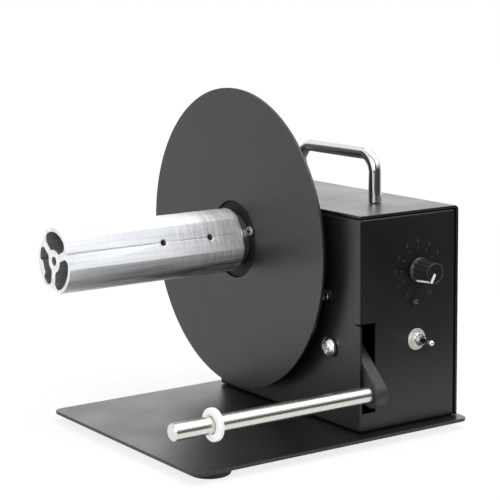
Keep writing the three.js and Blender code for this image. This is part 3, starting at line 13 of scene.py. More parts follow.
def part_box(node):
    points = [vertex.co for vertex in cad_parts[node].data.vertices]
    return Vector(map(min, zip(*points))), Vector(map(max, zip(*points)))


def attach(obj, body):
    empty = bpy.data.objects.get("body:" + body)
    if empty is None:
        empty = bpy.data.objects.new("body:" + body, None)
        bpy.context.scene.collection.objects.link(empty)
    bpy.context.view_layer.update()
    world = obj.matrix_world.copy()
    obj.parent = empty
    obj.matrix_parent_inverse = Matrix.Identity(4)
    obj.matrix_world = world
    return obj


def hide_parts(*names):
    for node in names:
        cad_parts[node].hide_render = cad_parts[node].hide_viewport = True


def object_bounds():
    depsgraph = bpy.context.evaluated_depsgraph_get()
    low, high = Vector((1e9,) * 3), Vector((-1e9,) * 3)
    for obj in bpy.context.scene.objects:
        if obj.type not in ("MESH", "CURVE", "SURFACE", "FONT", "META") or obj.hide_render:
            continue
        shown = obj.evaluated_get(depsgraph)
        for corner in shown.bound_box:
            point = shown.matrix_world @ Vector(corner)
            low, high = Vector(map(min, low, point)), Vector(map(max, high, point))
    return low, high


bl_info = {
    "name": "Label rewinder",
    "version": (1, 0, 0),
    "blender": (4, 5, 0),
    "location": "3D View > Sidebar > Rewinder",
    "description": "Builds the surfaces, finishes and stage of a label rewinder",
    "category": "Add Mesh",
}

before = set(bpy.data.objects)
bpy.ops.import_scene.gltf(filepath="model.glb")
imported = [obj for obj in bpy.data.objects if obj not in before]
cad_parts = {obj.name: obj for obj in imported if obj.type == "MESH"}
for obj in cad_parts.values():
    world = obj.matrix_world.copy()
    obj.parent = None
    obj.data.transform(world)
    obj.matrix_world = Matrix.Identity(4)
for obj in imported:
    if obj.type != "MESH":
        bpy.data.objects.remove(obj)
CAD_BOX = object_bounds()

MM = 0.001
JOIN = 1e-6  # points closer than this are one point
NOISE = (0.3, 0.7)  # most of a noise lies between these
X, Y, Z = np.eye(3)
SIDE = np.array([Y, Z, X])  # axes of a section that is carried along X
SPINDLE_TURN = math.radians(21)  # how far the tapped flat looks up from straight ahead
FINISHES = {}


# Colours and properties


def linear(code):
    """An sRGB hex colour as linear red, green, blue and alpha."""
    shown = np.array([int(code[i : i + 2], 16) for i in (1, 3, 5)]) / 255
    light = np.where(shown <= 0.04045, shown / 12.92, ((shown + 0.055) / 1.055) ** 2.4)
    return (*(float(value) for value in light), 1.0)


def length(name, description, millimetres):
    """A length property, shown in the scene's unit."""
    return FloatProperty(
        name=name, description=description, default=millimetres * MM, unit="LENGTH", precision=5
    )


def colour(name, description, code):
    """A colour property from an sRGB hex code."""
    return FloatVectorProperty(
        name=name, description=description, default=linear(code), size=4, subtype="COLOR", min=0, max=1
    )


def tilt(name, description, degrees):
    """An angle property."""
    return FloatProperty(name=name, description=description, default=math.radians(degrees), subtype="ANGLE")


def power(name, description, watts):
    """A lamp's power as a property."""
    return FloatProperty(name=name, description=description, default=watts, unit="POWER")


class RewinderSizes(bpy.types.PropertyGroup):
    """Sizes of the details that the solids leave to the surfaces."""

    sheet: length("Sheet", "Thickness of the folded steel", 1.5)
    fold: length("Fold radius", "Outer radius of the shell's folds", 2.0)
    flange: length("Fold width", "Width of the folds along the open edges", 12.0)
    sheet_edge: length("Sheet edge", "Rounding that the coat gives a cut edge", 0.35)
    slot_width: length("Slot width", "From the left wall's outer face", 11.6)
    slot_low: length("Slot bottom", "Slot's lower end above the plate", 12.0)
    slot_high: length("Slot top", "Slot's upper end above the plate", 66.0)
    relief_height: length("Relief height", "Saw cut at the slot's top", 1.0)
    relief_depth: length("Relief depth", "How far that cut runs back", 4.0)
    knob_flute: length("Flute depth", "Depth of the grooves round the knob", 0.45)
    pointer_width: length("Pointer width", "Width of the knob's white line", 1.5)
    tick_length: length("Tick length", "Length of a mark on the dial", 2.2)
    tick_width: length("Tick width", "Width of a mark on the dial", 0.4)
    tick_radius: length("Tick radius", "From the knob's axis to a mark's foot", 11.5)
    numeral: length("Numeral", "Size of the dial's numbers", 3.6)
    numeral_radius: length("Numeral radius", "From the knob's axis to a number's middle", 17.2)
    knob_flutes: IntProperty(name="Flutes", description="Grooves round the knob", default=14, min=3)
    ticks: IntProperty(name="Ticks", description="Marks on the dial", default=11, min=2)


class RewinderColours(bpy.types.PropertyGroup):
    """Colours of the finishes."""

    coat: colour("Powder coat", "Black powder coat on the sheet steel", "#141416")
    disc: colour("Disc coat", "Black powder coat on the flange disc", "#151517")
    arm: colour("Cast arm", "Dark grey casting", "#29272b")
    aluminium: colour("Aluminium", "Extruded and turned aluminium", "#eaebef")
    stainless: colour("Stainless", "Polished stainless rod", "#dcd8d2")
    bar: colour("Handle bar", "Polished stainless handle", "#eae7e5")
    chrome: colour("Chrome", "Bright plate on the screws", "#e8e8e8")
    nickel: colour("Nickel", "Bright plate on the switch", "#ece9e4")
    zinc: colour("Zinc", "Bright zinc plate", "#bfc1c0")
    bronze: colour("Bronze", "Sintered bronze bush", "#a8814a")
    nylon: colour("Nylon", "White nylon collar", "#f4f4f1")
    rubber: colour("Rubber", "Black rubber feet", "#121212")
    plastic: colour("Plastic", "Black moulded plastic", "#131314")
    knob: colour("Knob", "Black plastic of the knob", "#212123")
    # Painted shade: the dark colour for the faces inside the spindle's cavities, where shade falls.
    cavity: colour("Cavity", "Painted shade inside the spindle", "#7a7a7e")
    lamp: colour("Lamp", "Red lens", "#7a1614")
    inlay: colour("Inlay", "White line on the knob", "#f5f5f3")
    print_grey: colour("Dial print", "Grey marks round the knob", "#48484b")
    board: colour("Board", "Green solder mask", "#1e5a35")
    stage: colour("Stage", "Floor and backdrop", "#f7f7f7")


class RewinderStage(bpy.types.PropertyGroup):
    """Camera and lamps."""

    azimuth: tilt("Azimuth", "Camera's turn about the vertical, from straight ahead", -33.888)
    pitch: tilt("Pitch", "How far the camera looks down", 9.985)
    roll: tilt("Roll", "Camera's tilt about its own axis", -0.689)
    lens: FloatProperty(name="Lens", description="Focal length on a 36 mm sensor", default=123.74)
    place: FloatVectorProperty(
        name="Place",
        description="Where the camera stands",
        default=(-0.56715, -0.873475, 0.2903),
        subtype="TRANSLATION",
        unit="LENGTH",
        precision=5,
    )
    key: power("Key", "Power of the lamp at the front left", 15.5)
    overhead: power("Overhead", "Power of the soft box above", 13.5)
    bounce: power("Bounce", "Power of the card on the floor at the left", 1.8)
    window: power("Window", "Power of the soft box at the front right", 10.5)
    back: power("Back", "Power of the low soft box at the back right", 4.2)
    ambient: FloatProperty(
        name="Ambient", description="Strength of the room's light on the machine", default=0.3
    )


# Shapes


def corners(solid):
    """Lowest and highest corner of a solid, as arrays."""
    low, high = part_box(solid)
    return np.array(low), np.array(high)


def middle(solid):
    """Middle of a solid's box."""
    low, high = corners(solid)
    return (low + high) / 2


def seat(solid, axis):
    """Where a solid's middle line starts along an axis, and its radius and length in millimetres."""
    low, high = corners(solid)
    start = np.where(axis > 0, low, np.where(axis < 0, high, (low + high) / 2))
    size = (high - low) / MM
    return start, size[2 if axis[0] else 0] / 2, abs(size @ axis)


def front_panel():
    """The front panel's plane."""
    return corners("housing_shell")[0][1]


def unit(angle):
    """Cosine and sine of an angle, or of each of a row of angles."""
    return np.stack([np.cos(angle), np.sin(angle)], -1)


def circle(radius, centre, steps):
    """Points (r cos a, r sin a) about a centre."""
    return unit(np.linspace(0, 2 * np.pi, steps, endpoint=False)) * radius + centre


def basis(axis):
    """Rows: a direction across an axis, the one square to both, and the axis. Across is up x axis, level
    where the axis is level, and the second row then points up."""
    along = np.array(axis, float)
    helper = X if abs(along[2]) > 0.9 else Z
    across = np.cross(helper, along)
    across /= np.linalg.norm(across)
    return np.array([across, np.cross(along, across), along])


def surface(points, around=False, ring=False):
    """Quads between the neighbours of a grid of points: around closes each row, ring joins last row to
    first."""
    rows, columns = points.shape[:2]
    index = np.arange(rows * columns).reshape(rows, columns)
    if around:
        index = np.hstack([index, index[:, :1]])
    if ring:
        index = np.vstack([index, index[:1]])
    quads = np.stack([index[:-1, :-1], index[:-1, 1:], index[1:, 1:], index[1:, :-1]], -1)
    return points.reshape(-1, 3), quads.reshape(-1, 4).tolist()


def wrapped(radius, height, centre, axis, ring=False):
    """Radii r by row and angle a, and a height h by row: centre + h along an axis + r (cos a, sin a) across
    it."""
    angle = np.linspace(0, 2 * np.pi, radius.shape[1], endpoint=False)
    points = np.dstack([radius * np.cos(angle), radius * np.sin(angle), height + 0 * angle])
    return surface(points @ basis(axis) + centre, around=True, ring=ring)


def turned(profile, centre, axis, steps, ring=False):
    """Radii and heights turned about an axis."""
    profile = np.array(profile, float)
    return wrapped(np.tile(profile[:, :1], steps), profile[:, 1:], centre, axis, ring)


def rounded(table, closed=True, steps=6):
    """A polyline whose corners are arcs. A corner is x, y and a radius r, and its arc touches both sides at
    r tan(turn / 2) from the corner."""
    table = np.array(table, float)
    place, radius = table[:, :2], table[:, 2]
    come = place - np.roll(place, 1, 0)
    leave = np.roll(place, -1, 0) - place
    if not closed:
        come[0] = leave[0]
        leave[-1] = come[-1]
    come /= np.linalg.norm(come, axis=1)[:, None]
    leave /= np.linalg.norm(leave, axis=1)[:, None]
    turn = np.arctan2(come[:, 0] * leave[:, 1] - come[:, 1] * leave[:, 0], (come * leave).sum(1))
    start = place - come * (radius * np.tan(np.abs(turn) / 2))[:, None]
    inward = np.stack([-come[:, 1], come[:, 0]], 1) * np.sign(turn)[:, None]
    hub = (start + inward * radius[:, None])[:, None]
    spoke = (-inward * radius[:, None])[:, None]
    angle = (turn[:, None] * np.linspace(0, 1, steps))[..., None]
    side = np.stack([-spoke[..., 1], spoke[..., 0]], -1)
    points = (hub + spoke * np.cos(angle) + side * np.sin(angle)).reshape(-1, 2)
    new = np.linalg.norm(points - np.roll(points, 1, 0), axis=1) > JOIN
    new[0] = new[0] or not closed
    return points[new]


def block(low, high, lower=0.0, upper=None, steps=6):
    """A rectangle between two corners, with one radius at its lower corners and one at its upper."""
    upper = lower if upper is None else upper
    (left, bottom), (right, top) = low[:2], high[:2]
    sides = [(left, bottom, lower), (right, bottom, lower), (right, top, upper), (left, top, upper)]
    return rounded(sides, steps=steps)


def hoop(bore, radius, thick, inner, outer):
    """A ring's section for turning, with the radii of its inner and outer edges."""
    return [(bore, 0, inner), (radius, 0, outer), (radius, thick, outer), (bore, thick, inner)]


def wound(loop, sign):
    """The loop with its enclosed area positive or negative."""
    after = np.roll(loop, -1, 0)
    area = (loop[:, 0] * after[:, 1] - loop[:, 1] * after[:, 0]).sum()
    return loop if area * sign > 0 else loop[::-1]


def mitre(loop):
    """How each point of a loop moves for a unit step to the loop's left: the sum of both sides' normals over
    1 + their product."""
    come = loop - np.roll(loop, 1, 0)
    leave = np.roll(loop, -1, 0) - loop
    come = np.stack([-come[:, 1], come[:, 0]], 1) / np.linalg.norm(come, axis=1)[:, None]
    leave = np.stack([-leave[:, 1], leave[:, 0]], 1) / np.linalg.norm(leave, axis=1)[:, None]
    return (come + leave) / (1 + (come * leave).sum(1))[:, None]


def filled(loops):
    """Triangles that fill the area between flat loops."""
    fill = tessellate_polygon([[Vector((*point, 0)) for point in loop] for loop in loops])
    return [list(corner) for corner in fill]


def plate(outline, holes, low, high, centre, axes, edge, steps=4):
    """A flat piece between two heights. At angle a of its rounding a wall lies edge (1 - sin a) in from its
    loop and edge (1 - cos a) from the face. The faces are filled between the innermost loops."""
    loops = [wound(outline, 1)] + [wound(hole, -1) for hole in holes]
    angle = np.linspace(0, np.pi / 2, steps)
    inset = edge * (1 - np.sin(angle))
    rise = edge * (1 - np.cos(angle))
    inset = np.concatenate([inset, inset[::-1]])[:, None, None]
    height = np.concatenate([low + rise, high - rise[::-1]])[:, None]
    parts, rims = [], []
    for loop in loops:
        points = np.dstack([loop + mitre(loop) * inset, height + 0 * loop[:, 0]])
        parts.append(surface(points @ axes + centre, around=True))
        rims.append(loop + mitre(loop) * edge)
    fill = filled(rims)
    for level in (low, high):
        points = np.insert(np.concatenate(rims), 2, level, 1)
        parts.append((points @ axes + centre, fill))
    return parts


def tube(path, radius, across, steps):
    """A circle carried along a flat path: path + r (cos a across + sin a normal), where the normal is
    tangent x across."""
    tangent = np.gradient(path, axis=0)
    tangent /= np.linalg.norm(tangent, axis=1)[:, None]
    normal = np.cross(tangent, across)
    angle = np.linspace(0, 2 * np.pi, steps, endpoint=False)[:, None]
    ring = np.cos(angle) * np.array(across) + np.sin(angle) * normal[:, None]
    return surface(path[:, None] + radius[:, None, None] * ring, around=True)


def added(name, data):
    """A new object with that data, in the scene."""
    made = bpy.data.objects.new(name, data)
    bpy.context.scene.collection.objects.link(made)
    return made


def bake(made):
    """Applies a piece's modifiers, so that nothing else is needed to show it."""
    bpy.context.view_layer.update()
    graph = bpy.context.evaluated_depsgraph_get()
    done = bpy.data.meshes.new_from_object(made.evaluated_get(graph), depsgraph=graph)
    made.modifiers.clear()
    made.data = done


def piece(name, parts, look, body, nodes=(), slot=None, sharp=35, wall=None):
    """Puts surfaces into one mesh, merges what touches, turns the faces outwards, and hangs it on a body."""
    starts = np.cumsum([0] + [len(points) for points, _ in parts[:-1]])
    points = np.concatenate([points for points, _ in parts])
    faces = [
        tuple(corner + int(start) for corner in face)
        for (_, own), start in zip(parts, starts)
        for face in own
    ]
    mesh = bpy.data.meshes.new(name)
    mesh.from_pydata(points.tolist(), [], faces)
    work = bmesh.new()
    work.from_mesh(mesh)
    bmesh.ops.remove_doubles(work, verts=work.verts, dist=JOIN)
    bmesh.ops.dissolve_degenerate(work, edges=work.edges, dist=JOIN)
    if wall is None:
        bmesh.ops.recalc_face_normals(work, faces=work.faces)
    work.to_mesh(mesh)
    work.free()
    made = added(name, mesh)
    if wall is not None:
        thickness = made.modifiers.new("Sheet thickness", "SOLIDIFY")
        thickness.thickness = wall
        thickness.offset = -1
        thickness.use_even_offset = True
        bake(made)
    made.data.shade_smooth()
    made.data.set_sharp_from_angle(angle=math.radians(sharp))
    weighted = made.modifiers.new("Flat faces lead", "WEIGHTED_NORMAL")
    weighted.keep_sharp = True
    made.data.materials.append(FINISHES[look])
    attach(made, body)
    if nodes:
        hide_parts(*nodes)
    return made


def dress(look, *solids):
    """Gives solids that stay a finish."""
    for solid in solids:
        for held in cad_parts[solid].material_slots:
            held.material = FINISHES[look]


def lathe(name, solid, axis, table, look, body, slot, steps=96, ring=True, sharp=35):
    """A piece turned in a solid's place, from a table of radius, height and corner radius in millimetres."""
    profile = rounded(np.array(table) * MM, closed=ring)
    parts = [turned(profile, seat(solid, axis)[0], axis, steps, ring)]
    piece(name, parts, look, body, [solid], slot, sharp)


def pan_head(centre, axis, radius, height, shank=0.0, depth=0.0):
    """A cross-recess pan head on a shank, sized in millimetres. The square grid (u, v) becomes a disc by x =
    u sqrt(1 - v^2 / 2) and y = v sqrt(1 - u^2 / 2). Its height is the dome h (1 - 0.45 rho^4) less the
    recess, which is deepest in the middle and follows the larger arm of the cross at each point. Rings carry
    the disc's rim down and inwards."""
    u, v = np.meshgrid(*[np.linspace(-1, 1, 61)] * 2, indexing="ij")
    x = u * np.sqrt(1 - v**2 / 2)
    y = v * np.sqrt(1 - u**2 / 2)
    wide, slope, reach, end = 0.17, 0.06, 0.6, 0.12  # an arm's half width and length, and how both fall off
    deep, fall, flank, rim = 0.85, 0.45, 0.55, 0.12  # shares of the height: recess, dome, the edge's rings
    arms = [
        np.clip((wide - np.abs(across)) / slope, 0, 1) * np.clip((reach - np.abs(along)) / end, 0, 1)
        for along, across in ((x, y), (y, x))
    ]
    dome = 1 - fall * (x**2 + y**2) ** 2
    top = np.dstack([x * radius, y * radius, height * (dome - deep * np.maximum(*arms))]) * MM
    axes = basis(axis)
    edge = np.concatenate([top[:-1, 0], top[-1, :-1], top[:0:-1, -1], top[0, :0:-1]])
    neck = shank / radius if shank else 0.3
    rings = [(1, flank * height), (1, rim * height), (0.95, 0), (neck, 0)] + [(neck, -depth)] * bool(shank)
    rows = [edge * [scale, scale, 0] + Z * level * MM for scale, level in rings]
    rows.append(rows[-1] * Z)
    return [surface(top @ axes + centre), surface(np.array(rows) @ axes + centre, around=True)]


def pan_screw(solid, axis, height, shank, depth, look, slot):
    """A pan head screw in a solid's place, whose head fills the end that the axis points to."""
    end, radius, _ = seat(solid, -axis)
    parts = pan_head(end - axis * height * MM, axis, radius, height, shank, depth)
    piece(solid + "_head", parts, look, "frame", [solid], slot)


def hex_nut(solid, axis, bore):
    """A hexagon nut in a solid's place. Its outer radius at angle a is the smaller of the hexagon's, half the
    flats over cos(a to the nearest flat), and a cone's that clips the corners at both faces. The bore closes
    the ring."""
    flats = (corners(solid)[1] - corners(solid)[0])[2]
    start, _, thick = seat(solid, axis)
    mouth, slope, columns = 0.48, 1.7, 120  # the cone's radius at a face in flats, and its slope
    angle = np.linspace(0, 2 * np.pi, columns, endpoint=False)
    hexagon = flats / 2 / np.cos(angle % (np.pi / 3) - np.pi / 6)
    share = np.array([0, 0.02, 0.1, 0.25, 0.75, 0.9, 0.98, 1])
    cone = flats * mouth + np.minimum(share, 1 - share) * thick * MM * slope
    outer = np.minimum(hexagon, np.minimum(cone, flats / math.sqrt(3))[:, None])
    radius = np.vstack([0 * angle + bore * MM, outer, 0 * angle + bore * MM])
    level = np.concatenate([[0], share, [1]])[:, None] * thick * MM
    return wrapped(radius, level, start, axis, ring=True)


# Finishes


def node(tree, kind, inputs=(), out=None, **settings):
    """Adds a shader node with its settings, and links or sets its inputs, by name or in order. Gives the output
    that is named, or the first in use."""
    made = tree.nodes.new("ShaderNode" + kind)
    for name, value in settings.items():
        setattr(made, name, value)
    if isinstance(inputs, dict):
        pairs = [(made.inputs[name], value) for name, value in inputs.items()]
    else:
        pairs = zip([socket for socket in made.inputs if socket.enabled], inputs)
    for socket, value in pairs:
        if isinstance(value, bpy.types.NodeSocket):
            tree.links.new(value, socket)
        else:
            socket.default_value = value
    return made.outputs[out] if out else next((socket for socket in made.outputs if socket.enabled), None)


def cleared(holder):
    """The emptied node tree of a material or world."""
    holder.use_nodes = True
    holder.node_tree.nodes.clear()
    return holder.node_tree


def grain(tree, size, detail=2.0, stretch=(1, 1, 1)):
    """Noise on the piece's own coordinates, with about one feature in each size, in millimetres. It is drawn
    out along an axis whose stretch is small."""
    place = node(tree, "TexCoord", out="Object")
    place = node(tree, "Mapping", {"Vector": place, "Scale": stretch})
    return node(tree, "TexNoise", [place, 1 / (size * MM), detail])


def shade(value, scale):
    """A colour made darker or lighter by a factor."""
    return (*(min(1.0, channel * scale) for channel in value[:3]), 1.0)


def shaded(tree, bump=None, **sockets):
    """Ends a material's tree with one shader, and with a bump of a pattern, a height in millimetres and a
    strength."""
    inputs = {name.replace("_", " "): value for name, value in sockets.items()}
    if bump:
        pattern, height, strength = bump
        relief = {"Height": pattern, "Distance": height * MM, "Strength": strength}
        inputs["Normal"] = node(tree, "Bump", relief)
    node(tree, "OutputMaterial", [node(tree, "BsdfPrincipled", inputs)])


def finish(name, value, shades, gloss, pattern, relief=None, strong=False, **sockets):
    """A material. A pattern (size, detail, stretch) runs its colour between two shades, all the way where it
    is strong, and its roughness between two figures. A relief (height, strength) follows the same pattern, or
    a finer one that is its third entry."""
    made = bpy.data.materials.new(name)
    tree = cleared(made)
    own = grain(tree, *pattern)
    if shades:
        mixed = node(tree, "MapRange", [own, *NOISE, 0.0, 1.0]) if strong else own
        ends = [shade(value, scale) for scale in shades]
        value = node(tree, "Mix", [mixed, *ends], data_type="RGBA")
    bump = None
    if relief:
        height, strength, *finer = relief
        bump = (grain(tree, *finer[0]) if finer else own, height, strength)
    rough = node(tree, "MapRange", [own, *NOISE, *gloss])
    shaded(tree, bump, Base_Color=value, Roughness=rough, **sockets)
    return made


def extruded_aluminium(name, value, level):
    """Raw extruded aluminium under a milky oxide skin, which scatters part of the light: a broad metal gloss,
    drawn into lines along X by the die, about 0.8 mm apart so that they show, and broader pale and dark
    bands. Rub marks 1.2 mm wide lie across it, strongest at the flange, where cores are pushed home. Below
    the level of its axis it is painted darker, a warm grey in streaks, more so towards the flange: painted
    shade on its underside and next to the flange."""
    made = bpy.data.materials.new(name)
    tree = cleared(made)
    lines = grain(tree, 0.8, 3.0, (0.02, 1, 1))
    bands = grain(tree, 5, 2.0, (0.05, 1, 1))
    drawn = node(tree, "Math", [lines, bands], operation="ADD")
    drawn = node(tree, "Math", [drawn, 0.5], operation="MULTIPLY")
    drawn = node(tree, "MapRange", [drawn, *NOISE, 0.1, 0.9])
    rubs = node(tree, "MapRange", [grain(tree, 1.2, 4.0, (1, 0.1, 0.1)), *NOISE, 0.0, 1.0])
    along = node(tree, "SeparateXYZ", [node(tree, "TexCoord", out="Object")])
    near = [along, -60 * MM, 10 * MM]
    share = node(tree, "MapRange", [*near, 0.12, 0.72])
    marks = node(tree, "Mix", [share, drawn, rubs], data_type="FLOAT")
    # The metal's own colour, before the painted shade is laid over it.
    unshaded = node(tree, "Mix", [marks, shade(value, 0.6), shade(value, 1.2)], data_type="RGBA")

    # Painted shade: below the level of the axis, and more so towards the flange, the colour is darkened in
    # streaks.
    depth = [along.node.outputs["Z"], level - 2 * MM, level - 13 * MM]
    below = node(tree, "MapRange", depth)
    inner = node(tree, "MapRange", [along, -100 * MM, 10 * MM, 0.2, 0.95])
    painted_shade = node(tree, "Math", [below, inner], operation="MULTIPLY")
    streaks = node(tree, "MapRange", [grain(tree, 3, 4.0, (0.08, 1, 1)), *NOISE, 0.1, 1.5])
    painted_shade = node(tree, "Math", [painted_shade, streaks], operation="MULTIPLY")
    # The painted shade's colour: the aluminium darkened to a warm dark grey.
    shade_colour = (value[0] * 0.2, value[1] * 0.185, value[2] * 0.18, 1)
    shaded(
        tree,
        (lines, 0.03, 0.6),
        Base_Color=node(tree, "Mix", [painted_shade, unshaded, shade_colour], data_type="RGBA"),
        Metallic=node(tree, "MapRange", [*near, 0.8, 0.62]),
        Roughness=node(tree, "MapRange", [marks, *NOISE, 0.48, 0.6]),
    )
    return made


def turned_aluminium(name, value, centre):
    """Turned aluminium: bright, with soft rings from the tool, which lie closer together towards the rim. The
    pattern is a noise of the distance from a point on the hub's axis."""
    made = bpy.data.materials.new(name)
    tree = cleared(made)
    place = node(tree, "TexCoord", out="Object")
    moved = {"Vector": place, "Location": -Vector(centre), "Scale": (0, 1, 1)}
    place = node(tree, "Mapping", moved)
    away = node(tree, "VectorMath", [place], operation="LENGTH")
    rings = node(tree, "TexNoise", {"W": away, "Scale": 1 / (0.4 * MM)}, noise_dimensions="1D")
    rough = node(tree, "MapRange", [rings, *NOISE, 0.18, 0.32])
    shaded(tree, (rings, 0.01, 0.4), Base_Color=value, Metallic=1.0, Roughness=rough)
    return made


def make_finishes(colours):
    """Every finish once, by the name that the pieces ask for."""
    hub = middle("drive_hub")
    made = {
        # Raw profile and turned hub: see their functions.
        "spindle": extruded_aluminium("Extruded aluminium", colours.aluminium, hub[2]),
        "hub": turned_aluminium("Turned aluminium", colours.aluminium, hub),
        # Blackened steel: an oiled oxide film, nearly black and dull, which gives back less than paint does. On
        # the hub plate this near-black is painted shade, standing in for a deep shaded recess inside the disc's
        # hole.
        "black_oxide_and_recess_shade": finish(
            "Black oxide steel and recess shade", shade(colours.coat, 0.4), (0.7, 1.3), (0.5, 0.62), (4,),
            (0.01, 0.5, (0.6,)), IOR=1.3,
        ),
        # Inside of an extrusion: a dull, dark skin that is painted shade for the spindle's cavities, with drag
        # lines 1 mm apart.
        "cavity": finish(
            "Painted cavity shade", colours.cavity, (0.5, 1.6), (0.5, 0.7), (1, 3.0, (0.03, 1, 1)),
            (0.03, 0.6), Metallic=0.4,
        ),
        # Painted casting: matte and pebbled, with grains about 1.6 mm across that sit 0.25 mm proud.
        "arm": finish(
            "Painted casting", colours.arm, (0.4, 1.9), (0.42, 0.62), (1.6, 4.0), (0.25, 1.0), True, IOR=1.5
        ),
        # Sintered bronze: a dull warm metal with open pores about 0.2 mm across.
        "bronze": finish(
            "Sintered bronze", colours.bronze, (0.7, 1.1), (0.35, 0.55), (0.25, 3.0),
            (0.01, 0.5), Metallic=1.0,
        ),
        # Turned white nylon: slightly waxy, so light sinks in about 1 mm before it comes back.
        "nylon": finish(
            "Turned nylon", colours.nylon, (0.96, 1), (0.34, 0.44), (4,), (0.006, 0.3, (0.5,)), IOR=1.53,
            Subsurface_Weight=0.25, Subsurface_Radius=(1.0, 0.95, 0.85), Subsurface_Scale=1.0 * MM,
        ),
        # Moulded rubber: matte black with a dusty bloom in its hollows.
        "rubber": finish(
            "Moulded rubber", colours.rubber, (1, 1.9), (0.7, 0.9), (2, 3.0), (0.02, 0.5, (0.4,)), IOR=1.5
        ),
        # Tinted epoxy lens: clear gloss skin over a deep red that light passes into.
        "lamp": finish(
            "Red lens", colours.lamp, (0.55, 1), (0.08, 0.16), (1.5,), IOR=1.52,
            Coat_Weight=0.6, Coat_Roughness=0.04, Transmission_Weight=0.35,
        ),
        # Green solder mask on a board: glossy lacquer with copper lines under it, 2 mm apart.
        "board": finish(
            "Solder mask", colours.board, (0.8, 1.3), (0.25, 0.35), (2, 2.0, (1, 0.1, 1)),
            (0.03, 0.4), IOR=1.5,
        ),
    }
    # Polyester powder coat, baked on steel: satin, with the fine orange peel that the melt leaves, about 1 mm
    # from crest to crest, and a slight change of gloss over the sheet.
    for key, name, value, gloss in (
        ("coat", "Satin powder coat", colours.coat, (0.35, 0.41)),
        ("disc", "Disc powder coat", colours.disc, (0.34, 0.4)),
    ):
        made[key] = finish(name, value, (0.88, 1.12), gloss, (30,), (0.012, 0.6, (1.1, 1.0)), IOR=1.55)
    # Polished stainless bar: a soft mirror with faint drawn lines along the bar and slight handling marks.
    # The handle is the smoother of the two.
    for key, name, value, gloss, stretch, strength in (
        ("rod", "Polished rod", colours.stainless, (0.23, 0.29), (0.02, 1, 1), 0.15),
        ("handle", "Polished handle", colours.bar, (0.13, 0.19), (0.6, 0.03, 0.03), 0.04),
    ):
        made[key] = finish(name, value, None, gloss, (0.5, 2.0, stretch), (0.002, strength), Metallic=1.0)
    # Bright nickel, chrome or zinc plate: a mirror film whose gloss changes a little from place to place.
    for key, name, value, gloss in (
        ("chrome", "Chrome plate", colours.chrome, (0.2, 0.28)),
        ("nickel", "Nickel plate", colours.nickel, (0.2, 0.28)),
        ("nut_nickel", "Nickel plate on the nut", colours.nickel, (0.3, 0.38)),
        # A lighter copy of nickel for the washer: painted light, brighter than the nut's plate.
        ("satin_lit_nickel", "Satin nickel plate, painted lighter", shade(colours.nickel, 1.08), (0.46, 0.54)),
        ("zinc", "Zinc plate", colours.zinc, (0.24, 0.32)),
        # A darker copy of zinc: painted shade for the hub screws in the disc's recess.
        ("shaded_zinc", "Zinc plate with painted shade", shade(colours.zinc, 0.45), (0.4, 0.48)),
    ):
        made[key] = finish(name, value, (0.92, 1), gloss, (3,), (0.002, 0.4, (0.8,)), Metallic=1.0)
    # Moulded ABS or nylon 66: even colour with a spark-eroded texture, drawn 0.3 mm across so that it shows.
    for key, name, value, gloss in (
        ("plastic", "Moulded plastic", colours.plastic, (0.34, 0.42)),
        ("knob", "Knob plastic", colours.knob, (0.26, 0.34)),
    ):
        made[key] = finish(name, value, (0.94, 1.04), gloss, (6,), (0.01, 0.4, (0.3,)), IOR=1.49)
    # Screen print: a thin matte ink film with a slightly uneven edge.
    for key, name, value in (
        ("inlay", "White inlay", colours.inlay),
        ("dial", "Dial print", colours.print_grey),
    ):
        made[key] = finish(name, value, (0.85, 1.1), (0.5, 0.6), (0.6,), IOR=1.45)
    FINISHES.update(made)


# Operators


class REWINDER_OT_finishes(bpy.types.Operator):
    """Make the finishes"""

    bl_idname = "rewinder.finishes"
    bl_label = "Finishes"

    def execute(self, context):
        make_finishes(context.scene.rewinder_colours)
        return {"FINISHED"}


class REWINDER_OT_base(bpy.types.Operator):
    """Base plate, its four feet and the screws beneath it"""

    bl_idname = "rewinder.base"
    bl_label = "Base plate and feet"

    corner = 6 * MM
    screw_hole = 2.3 * MM

    def execute(self, context):
        low, high = corners("base_plate")
        screws = [f"base_screw_{number}" for number in range(1, 5)]
        holes = [circle(self.screw_hole, middle(screw)[:2], 24) for screw in screws]
        outline = block(low, high, self.corner, steps=12)
        edge = context.scene.rewinder_sizes.sheet_edge
        parts = plate(outline, holes, low[2], high[2], 0 * X, np.eye(3), edge)
        piece("plate_sheet", parts, "coat", "frame", ["base_plate"], "base_coat")
        for screw in screws:
            pan_screw(screw, -Z, 1.7, 2, 7, "zinc", "zinc_steel")
        for foot in ("front_left", "front_right", "rear_left", "rear_right"):
            self.foot(foot)
        return {"FINISHED"}

    def foot(self, name):
        """A bumper: a dish, a rounded tip, a straight taper and a narrow glued rim, turned about the
        vertical."""
        _, radius, height = seat("foot_" + name, Z)
        dish, floor = radius * 0.46, height * 0.34
        table = [
            (0, floor, 0), (dish * 0.86, floor, 0.4), (dish, 0, 0.5), (radius * 0.9, 0, 1.2),
            (radius, height * 0.75, 0.6), (radius, height, 0.2), (0, height, 0),
        ]
        lathe("bumper_" + name, "foot_" + name, Z, table, "rubber", "frame", "foot_rubber", 64, ring=False)


def bend(start, end, first, second, radius, steps=8):
    """A quarter-round strip: the line from start to end, moved by r (cos a first + sin a second)."""
    arc = radius * unit(np.linspace(0, np.pi / 2, steps)) @ [first, second]
    return surface(np.stack([arc + start, arc + end], 1))


def ball_corner(centre, first, second, third, radius, steps=8):
    """An eighth of a ball: centre + r (cos b (cos a first + sin a second) + sin b third)."""
    a, b = np.meshgrid(*[np.linspace(0, np.pi / 2, steps)] * 2, indexing="ij")
    points = np.dstack([np.cos(b) * np.cos(a), np.cos(b) * np.sin(a), np.sin(b)])
    return surface(centre + radius * points @ [first, second, third])


